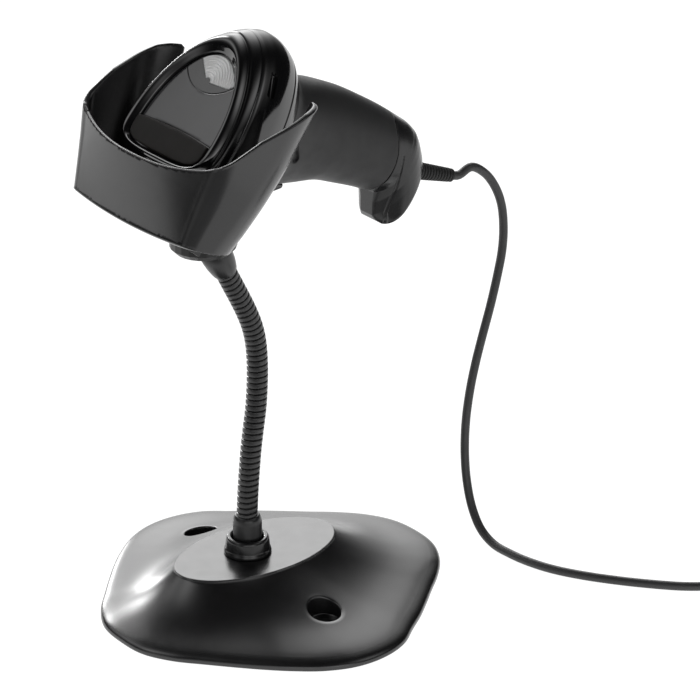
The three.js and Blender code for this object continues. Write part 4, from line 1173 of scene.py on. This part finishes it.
def plate(outline, holes, top, bottom, edge=0.25, step=1.3):
    """A thin plate with softened upper edges. top(x, v) gives the face's height."""
    loops = [shrink(outline, edge)] + [shrink(h, -edge) for h in holes]
    lo_, hi_ = np.min(outline, 0), np.max(outline, 0)
    gx, gy = np.meshgrid(np.arange(lo_[0], hi_[0], step), np.arange(lo_[1], hi_[1], step))
    xy, tris = fill(loops, np.stack([gx.ravel(), gy.ravel()], -1))
    vs = [np.array([x, y, top(x, y)]) for x, y in xy]
    fs = list(tris)
    n = len(vs)
    vs += [np.array([x, y, bottom]) for x, y in xy]
    fs += [tuple(i + n for i in t[::-1]) for t in tris]
    st = 0
    for lp, src in zip(loops, [outline] + list(holes)):
        m = len(lp)
        sgn = edge if lp is loops[0] else -edge
        prev = list(range(st, st + m))
        for f, dz in ((0.62, -0.04), (0.25, -0.13), (0.0, -0.3), (0.0, None)):
            k0 = len(vs)
            ring = shrink(src, sgn * f)
            for x, y in ring:
                vs.append(np.array([x, y, (top(x, y) + dz) if dz is not None else bottom]))
            new = list(range(k0, k0 + m))
            for i in range(m):
                fs.append((prev[i], prev[(i + 1) % m], new[(i + 1) % m], new[i]))
            prev = new
        low = list(range(st + n, st + n + m))
        for i in range(m):
            fs.append((prev[i], prev[(i + 1) % m], low[(i + 1) % m], low[i]))
        st += m
    return orient(fs, vs)


def cut_circle(loop, keep_out):
    """The part of a closed loop outside (or inside) the lens circle, closed along the circle."""
    R_ = LENS_R + (0.15 if keep_out else -0.15)
    P_ = np.asarray(loop)
    f = lambda z: (np.hypot(z[..., 0], z[..., 1] - LENS_V) - R_) * (1 if keep_out else -1)
    keep = f(P_) > 0
    k = [i for i in range(len(P_)) if keep[i] and not keep[i - 1]][0]
    P_, keep = np.roll(P_, -k, axis=0), np.roll(keep, -k)
    run = P_[: int(keep.sum())]

    def cross(p, q):
        t = f(p) / (f(p) - f(q))
        return p + (q - p) * t

    s_, e_ = cross(P_[-1], run[0]), cross(run[-1], P_[len(run)])
    a0, a1 = math.atan2(e_[1] - LENS_V, e_[0]) % (2 * pi), math.atan2(s_[1] - LENS_V, s_[0]) % (2 * pi)
    n = int(abs(a1 - a0) * R_ / 0.6)
    t = np.linspace(a0, a1, n + 1)[1:-1]
    return np.vstack([[s_], run, [e_], np.stack([R_ * np.cos(t), LENS_V + R_ * np.sin(t)], -1)])


crown = lambda x, y: -2.35 + 0.25 * max(0.0, 1 - (x / 27) ** 2)
piece("top_inlay", *plate(cut_circle(clipped(1, 0.2), True), [], crown, -3.3), body="scanner", mat=INLAY, slot="smoked_inlay", local=True, stands_for=("top_inlay",), angle=40)
piece("label_plate", *plate(clipped(-1, -0.2), [], lambda x, y: 0.12 + 0.08 * max(0.0, 1 - (x / 27) ** 2), -3.3), body="scanner", mat=LABEL, slot="label_matte", local=True,
      stands_for=("label_plate",), angle=40)

# indicator lens: concentric ridges about a point near its lower edge
RX, RV = -0.6, 26.9
x, v = even_egg(E2, 700)
louter = cut_circle(np.stack([x, v], -1), False)
lens_loop = shrink(louter, 0.14)
ip = []
for r in np.arange(0.45, 23.0, 0.15):
    m = max(8, int(2 * pi * r / 0.5))
    t = (np.arange(m) + 0.5 * (int(r / 0.15) % 2)) * 2 * pi / m
    ip.append(np.stack([RX + r * np.cos(t), RV + r * np.sin(t)], -1))
ip = np.concatenate(ip)


def gap_to(loop, P_):
    a_, b_ = loop, np.roll(loop, -1, axis=0)
    out = np.full(len(P_), 1e9)
    for p, q in zip(a_, b_):
        e = q - p
        t = np.clip(((P_ - p) @ e) / (e @ e), 0, 1)
        out = np.minimum(out, np.hypot(*(P_ - p - t[:, None] * e).T))
    return out


ip = ip[inside(lens_loop, ip)]
ip = ip[gap_to(lens_loop, ip) > 0.22]
xy, tris = fill([lens_loop], ip)
rr = np.hypot(xy[:, 0] - RX, xy[:, 1] - RV)
th_ = np.degrees(np.arctan2(xy[:, 1] - RV, xy[:, 0] - RX))
edge_ = gap_to(louter, xy)


def ribbed_at(th_, rr, edge_):
    return smooth(th_, 1, 6) * (1 - smooth(th_, 138, 143)) * smooth(rr, 1.6, 2.6) * smooth(edge_, 0.5, 1.0)


ribbed = ribbed_at(th_, rr, edge_)
RIB = 1.55
wave = (rr / RIB) % 1.0
ridge = np.where(wave < 0.72, wave / 0.72, (1 - wave) / 0.28)
zz = -2.3 + 0.2 * (1 - (xy[:, 0] / 27) ** 2) + ribbed * (0.62 * ridge - 0.1)
vs = [np.array([x, y, z]) for (x, y), z in zip(xy, zz)]
fs = list(tris)
n = len(lens_loop)
prev = list(range(n))
for d, z in ((0.03, -2.38), (0.0, -2.5), (0.0, -3.2), (0.08, -3.3)):
    k0 = len(vs)
    vs += [np.array([p[0], p[1], z]) for p in (shrink(louter, d) if d else louter)]
    new = list(range(k0, k0 + n))
    fs += [(prev[i], prev[(i + 1) % n], new[(i + 1) % n], new[i]) for i in range(n)]
    prev = new
bxy, btris = fill([shrink(louter, 0.08)], np.array([[0.0, 30.0], [5, 32], [-5, 32], [10, 33], [-10, 33], [0, 36]]))
ids = list(prev)
for p in bxy[n:]:
    ids.append(len(vs))
    vs.append(np.array([p[0], p[1], -3.3]))
fs += [tuple(ids[i] for i in t)[::-1] for t in btris]
lens = piece("indicator_lens", *orient(fs, vs), body="scanner", mat=LENSM, slot="lens_grey", local=True, stands_for=("indicator_lens",), angle=60)
# painted shade: outside its ridged sector the lens is coloured near-black, which paints the shade on the fan's left
# part; inside the sector it stays light grey
lit_sector_attr = lens.data.attributes.new("ribbed", "FLOAT", "POINT")
lv = np.array([tuple(v.co) for v in lens.data.vertices]) / MM - P0
lx, lvv, ln_ = lv[:, 0], lv[:, 1] * CA + lv[:, 2] * SA, -lv[:, 1] * SA + lv[:, 2] * CA
rr, th_ = np.hypot(lx - RX, lvv - RV), np.degrees(np.arctan2(lvv - RV, lx - RX))
lit_sector_mask = ribbed_at(th_, rr, gap_to(louter, np.stack([lx, lvv], -1))) * (ln_ > -2.6)
lit_sector_attr.data.foreach_set("value", lit_sector_mask.astype(np.float32))
nt = LENSM.node_tree
at = nt.nodes.new("ShaderNodeAttribute")
at.attribute_name = "ribbed"
lit_shade_mix = nt.nodes.new("ShaderNodeMix")
lit_shade_mix.data_type = "RGBA"
# painted shade: near-black lens colour where the fan lies in shade, outside the lit ridged sector
lit_shade_mix.inputs["A"].default_value = (0.012, 0.012, 0.0125, 1)
ramp_ = [x for x in nt.nodes if x.type == "VALTORGB"][0]
nt.links.new(at.outputs["Fac"], lit_shade_mix.inputs["Factor"])
nt.links.new(ramp_.outputs["Color"], lit_shade_mix.inputs["B"])
nt.links.new(lit_shade_mix.outputs["Result"], nt.nodes["Principled BSDF"].inputs["Base Color"])

# nose bezel and window
def rr_ring(hw, n0_, n1_, r, v, N=12):
    s = rrect(hw, (n1_ - n0_) / 2, r, N)
    return np.stack([s[:, 0], np.full(len(s), v), (n0_ + n1_) / 2 + s[:, 1]], -1)


rows = [rr_ring(21.3, -27.1, -10.7, 3.8, -38.5), rr_ring(21.6, -27.4, -10.4, 4, -38.8), rr_ring(21.6, -27.4, -10.4, 4, -39.4), rr_ring(21.1, -26.9, -10.9, 3.6, -39.85),
        rr_ring(18.2, -25.4, -12.6, 2.9, -39.85), rr_ring(17.4, -24.8, -13.3, 2.5, -39.5), rr_ring(17.2, -24.6, -13.5, 2.5, -38.8), rr_ring(17.3, -24.7, -13.4, 2.5, -38.5)]
v, f = grid(rows + [rows[0]], cap0=False, cap1=False)
m = len(rows) * len(rows[0])
piece("nose_bezel", v[:m], [tuple(i % m for i in q_) for q_ in f], body="scanner", mat=RUBBER, slot="rubber_black", local=True, stands_for=("nose_bezel",), angle=50)
rows = [rr_ring(17.7, -24.9, -13.2, 2.4, -37.9), rr_ring(18, -25.2, -12.9, 2.5, -37.6), rr_ring(18, -25.2, -12.9, 2.5, -36.5), rr_ring(17.8, -25.0, -13.1, 2.4, -36.4)]
piece("scan_window", *grid(rows), body="scanner", mat=WINDOWM, slot="window_red", local=True, stands_for=("scan_window",), angle=40)

# grip and end cap: one surface, parted along a line that rises towards the back
SPLIT_V = [32, 34, 36.3, 39.4, 43.5, 47.1, 51.6, 55.5, 60.8, 64.4, 66.7, 70]
SPLIT_N = [-115.6, -113.4, -112.4, -111.6, -110.4, -109.4, -107.4, -104.9, -101.1, -99.6, -100, -100]
NG = 420
th = (np.arange(NG) + 0.5) * 2 * pi / NG + pi / 2


def column_ring(n_of, inset=0.0):
    """Ring whose points each sit at their own n."""
    n_of = np.broadcast_to(n_of, (NG,)).astype(float)
    R_ = grip_row(n_of)
    v0, v1, hw, vm, pf, pb = R_.T
    c, s = np.cos(th), np.sin(th)
    p = np.where(s < 0, pf, pb)
    a_ = np.where(s < 0, vm - v0, v1 - vm) - inset
    x, v = (hw - inset) * np.sign(c) * np.abs(c) ** (2 / p), vm + a_ * np.sign(s) * np.abs(s) ** (2 / p)
    # the toe's front is a narrow flat
    k = smooth(-n_of, 114, 117)
    return np.stack([x, np.maximum(v, v0 + k * 0.075 * (vm - v0) - 5 * (1 - k)), n_of], -1)


nend = np.full(NG, -107.0)
for _ in range(30):
    nend = 0.5 * nend + 0.5 * np.interp(column_ring(nend)[:, 1], SPLIT_V, SPLIT_N)
for _ in range(6):
    nend = 0.5 * nend + 0.25 * np.roll(nend, 1) + 0.25 * np.roll(nend, -1)
n0_ = -36.35
us = np.concatenate([[0, 0.002, 0.005, 0.009], np.linspace(0.016, 0.985, 150), [0.991, 0.995, 0.998, 1.0]])
rings = []
for u in us:
    n = n0_ + (nend + 0.15 - n0_) * u
    d0, d1 = -(n - n0_), n - nend - 0.15
    ins = 0.6 * (1 - np.sqrt(np.clip(1 - (1 - np.clip(d0, 0, 0.7) / 0.7) ** 2, 0, 1))) + 0.45 * (1 - np.sqrt(np.clip(1 - (1 - np.clip(d1, 0, 0.5) / 0.5) ** 2, 0, 1)))
    r = column_ring(n, 0.0)
    c_ = np.stack([np.zeros(NG), np.full(NG, float(np.mean(r[:, 1]))), r[:, 2]], -1)
    dirn = r - c_
    dirn /= np.maximum(np.linalg.norm(dirn, axis=1)[:, None], 1e-6)
    # dark slot down each side under the head
    a2, b2 = np.array([31.8, -35.5]), np.array([20.4, -52.3])
    ab = b2 - a2
    t_ = np.clip(((r[:, 1] - a2[0]) * ab[0] + (r[:, 2] - a2[1]) * ab[1]) / (ab @ ab), 0, 1)
    dist = np.hypot(r[:, 1] - a2[0] - t_ * ab[0], r[:, 2] - a2[1] - t_ * ab[1])
    slot_ = 1.3 * (1 - smooth(dist, 1.5, 2.1)) * (np.abs(r[:, 0]) > 10)
    rings.append(r - dirn * (ins + slot_)[:, None])
gv_, gf_ = grid(rings)
grip = piece("grip_shell", gv_, gf_, mat=MATTE, slot="grip_matte", local=True, stands_for=("grip_shell",), angle=40)
TV, TN, TR = 3.2, -56.5, 0.42
boolean(grip, block(-7.5, 7.5, -16, 12, -12.6, 12.6, 1.6, rot=TR, at=(TV, TN)))
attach(grip, "scanner")

# trigger
rows = []
tp = [(0.2, -11.6), (-0.9, -9), (-2.2, -6), (-3.6, -3), (-4.8, 0), (-5.7, 3), (-6.1, 5.4), (-5.9, 8.6), (-5, 12), (4.5, 12), (4.5, 4), (2.4, 2), (2.4, -11.6), (0.2, -11.6)]
tpr = rounded(tp, 0.9, 4, closed=True)[:-1]
for x, ins in ((-7, 0.75), (-6.85, 0.35), (-6.5, 0.1), (-6.0, 0), (6.0, 0), (6.5, 0.1), (6.85, 0.35), (7, 0.75)):
    lp = shrink(np.array(tpr), ins)
    c, s = math.cos(TR), math.sin(TR)
    rows.append(np.stack([np.full(len(lp), x), lp[:, 0] * c - lp[:, 1] * s + TV, lp[:, 0] * s + lp[:, 1] * c + TN], -1))
piece("trigger_button", *grid(rows), body="trigger", mat=GLOSS, slot="gloss_black", local=True, stands_for=("trigger_button",), angle=50)

# end cap with its toe
us = np.concatenate([[0, 0.004, 0.009, 0.016], np.linspace(0.028, 1, 110)])
rings = []
groove = [np.array([52.5, -111.2]), np.array([44.7, -115.3]), np.array([38.3, -120.1]), np.array([31.5, -123.8]), np.array([27.1, -126.4]), np.array([23.6, -130])]
for u in us:
    n = (nend - 0.15) + (-131.6 - (nend - 0.15)) * u
    r = column_ring(n, 0.0)
    c_ = np.stack([np.zeros(NG), np.full(NG, float(np.mean(r[:, 1]))), r[:, 2]], -1)
    dirn = r - c_
    dirn /= np.maximum(np.linalg.norm(dirn, axis=1)[:, None], 1e-6)
    d0 = nend - 0.15 - n
    ins = 0.5 * (1 - np.sqrt(np.clip(1 - (1 - np.clip(d0, 0, 0.55) / 0.55) ** 2, 0, 1)))
    dist = np.full(NG, 99.0)
    for a2, b2 in zip(groove[:-1], groove[1:]):
        ab = b2 - a2
        t_ = np.clip(((r[:, 1] - a2[0]) * ab[0] + (r[:, 2] - a2[1]) * ab[1]) / (ab @ ab), 0, 1)
        dist = np.minimum(dist, np.hypot(r[:, 1] - a2[0] - t_ * ab[0], r[:, 2] - a2[1] - t_ * ab[1]))
    gr_ = 0.55 * (1 - smooth(dist, 0.3, 0.8)) * (np.abs(r[:, 0]) > 6)
    rings.append(r - dirn * (ins + gr_)[:, None])
tipz = rings[-1]
cc = tipz.mean(0)
for k in (0.85, 0.6, 0.3):
    rings.append(cc + (tipz - cc) * k + np.array([0, 0, -0.06 * (1 - k)]))
cap = piece("end_cap", *grid(rings), mat=CAPM, slot="cap_black", local=True, stands_for=("end_cap",), angle=35)
RAl, RBl = np.array([0, 48.5, -125.2]), np.array([0, 62.2, -158.6])
rd = (RBl - RAl) / np.linalg.norm(RBl - RAl)
bl_ = RAl - rd * 2


def rod_piece(name, a_, b_, prof, N=64, **kw):
    """Turned solid along a to b in the scanner frame; prof is (distance, radius)."""
    e = (b_ - a_) / np.linalg.norm(b_ - a_)
    x = np.array([1.0, 0, 0])
    y = np.cross(e, x)
    t = np.arange(N) * 2 * pi / N
    return piece(name, *grid([a_ + e * s + r * (np.cos(t)[:, None] * x + np.sin(t)[:, None] * y) for s, r in prof]), local=True, **kw)


cutter = rod_piece("cutter", bl_, RBl, [(0, 4.95), (30, 4.95)])
boolean(cap, cutter)
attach(cap, "scanner")
# strain relief: tapered rubber boot with ribs
Lr = float(np.linalg.norm(RBl - RAl))
prof = [(0, 3.0), (0.05, 4.3), (0.4, 4.6), (8.2, 4.6), (9.2, 4.55)]
nrib = 13
s0, s1 = 10.0, Lr - 1.6
step_ = (s1 - s0) / nrib
for k in range(nrib):
    a0 = s0 + k * step_
    R0 = 4.5 - 1.15 * (a0 - s0) / (s1 - s0)
    for f, d in ((0.0, 0.75), (0.10, 0.75), (0.2, 0.15), (0.3, 0.0), (0.72, 0.0), (0.85, 0.15), (0.95, 0.75)):
        prof.append((a0 + f * step_, R0 - d - 0.1 * f))
prof += [(s1, 2.75), (s1 + 0.2, 3.2), (Lr - 0.35, 3.25), (Lr - 0.05, 3.0), (Lr, 2.4)]
rod_piece("strain_relief", RAl, RBl, prof, body="scanner", mat=RUBBER, slot="cord_grey", stands_for=("strain_relief",), angle=60)

# ---------------------------------------------------------------- fitting under the cup
top_ = neck_line[-1]
fr, fb_ = np.array([1.0, 0, 0]), np.cross(tdir, [1.0, 0, 0])
t = np.arange(96) * 2 * pi / 96
rows = [top_ + tdir * s + r * (np.cos(t)[:, None] * fr + np.sin(t)[:, None] * fb_) for s, r in
        ((0.9, 4.0), (0.92, 4.9), (1.05, 5.25), (1.4, 5.5), (2.2, 5.85), (4.0, 6.35), (7.0, 6.95), (11.0, 7.4), (16.3, 7.6), (16.5, 7.4))]
piece("neck_upper_fitting", *grid(rows), body="cup", mat=FIT, slot="fitting_satin", stands_for=("neck_upper_fitting",), angle=50)

# ---------------------------------------------------------------- studio
bpy.ops.mesh.primitive_plane_add(size=14, location=(0, 0, -0.0002))
floor = bpy.context.object
floor.name = "floor"
fm = bpy.data.materials.new("floor_white")
fm.use_nodes = True
fb = fm.node_tree.nodes["Principled BSDF"]
fb.inputs["Base Color"].default_value = (0.2, 0.2, 0.2, 1)
fb.inputs["Roughness"].default_value = 0.9
fb.inputs["Specular IOR Level"].default_value = 0.0
fb.inputs["Emission Color"].default_value = (1, 1, 1, 1)
# the floor fades just in front of the picture, so the near sides stay dark
fn, fl = fm.node_tree.nodes, fm.node_tree.links
fc = fn.new("ShaderNodeTexCoord")


def fade(direction, lo_, hi_, a0, a1):
    d = fn.new("ShaderNodeVectorMath")
    d.operation = "DOT_PRODUCT"
    d.inputs[1].default_value = direction
    fl.new(fc.outputs["Object"], d.inputs[0])
    r = fn.new("ShaderNodeMapRange")
    r.interpolation_type = "SMOOTHSTEP"
    r.inputs["From Min"].default_value, r.inputs["From Max"].default_value = lo_, hi_
    r.inputs["To Min"].default_value, r.inputs["To Max"].default_value = a0, a1
    fl.new(d.outputs["Value"], r.inputs["Value"])
    return r.outputs["Result"]


near_ = fn.new("ShaderNodeMath")
near_.operation = "MULTIPLY"
fl.new(fade((0.7943, -0.6075, 0), 0.118, 0.30, 0.0, 0.86), near_.inputs[0])
fl.new(fade((0.6075, 0.7943, 0), 0.12, 0.36, 1.0, 0.0), near_.inputs[1])
glow = fn.new("ShaderNodeMath")
glow.operation = "SUBTRACT"
glow.inputs[0].default_value = 1.0
fl.new(near_.outputs[0], glow.inputs[1])
fl.new(glow.outputs[0], fb.inputs["Emission Strength"])
floor.data.materials.append(fm)

# a dark room with soft boxes: azimuth and height in degrees, sharpness, strength
BOXES = [(148, 22, 20, 4.0), (178, 28, 140, 19.0), (168, 6, 300, 26.0), (140, 44, 26, 2.4), (213, 34, 34, 1.3), (250, 48, 30, 2.0), (272, 10, 30, 0.8), (318, 8, 30, 1.8), (350, 10, 30, 2.2), (35, 40, 30, 1.4)]

world_ = bpy.data.worlds.new("studio")
bpy.context.scene.world = world_
world_.use_nodes = True
wn, wl = world_.node_tree.nodes, world_.node_tree.links
bg = wn["Background"]
tc = wn.new("ShaderNodeTexCoord")


def maths(op, p, q=0.0):
    m = wn.new("ShaderNodeMath")
    m.operation = op
    for k, v_ in enumerate((p, q)):
        if isinstance(v_, float):
            m.inputs[k].default_value = v_
        else:
            wl.new(v_, m.inputs[k])
    return m.outputs[0]


def soft_box(az, el, sharp, strength):
    d = wn.new("ShaderNodeVectorMath")
    d.operation = "DOT_PRODUCT"
    a_, e_ = math.radians(az), math.radians(el)
    d.inputs[1].default_value = (math.cos(a_) * math.cos(e_), math.sin(a_) * math.cos(e_), math.sin(e_))
    wl.new(tc.outputs["Generated"], d.inputs[0])
    return maths("MULTIPLY", maths("EXPONENT", maths("MULTIPLY", maths("SUBTRACT", d.outputs["Value"], 1.0), float(sharp))), float(strength))


level = soft_box(*BOXES[0])
for b_ in BOXES[1:]:
    level = maths("ADD", level, soft_box(*b_))
wl.new(maths("ADD", level, 0.01), bg.inputs["Strength"])
bg.inputs["Color"].default_value = (1, 1, 1, 1)
bpy.context.scene.view_settings.view_transform = "Standard"
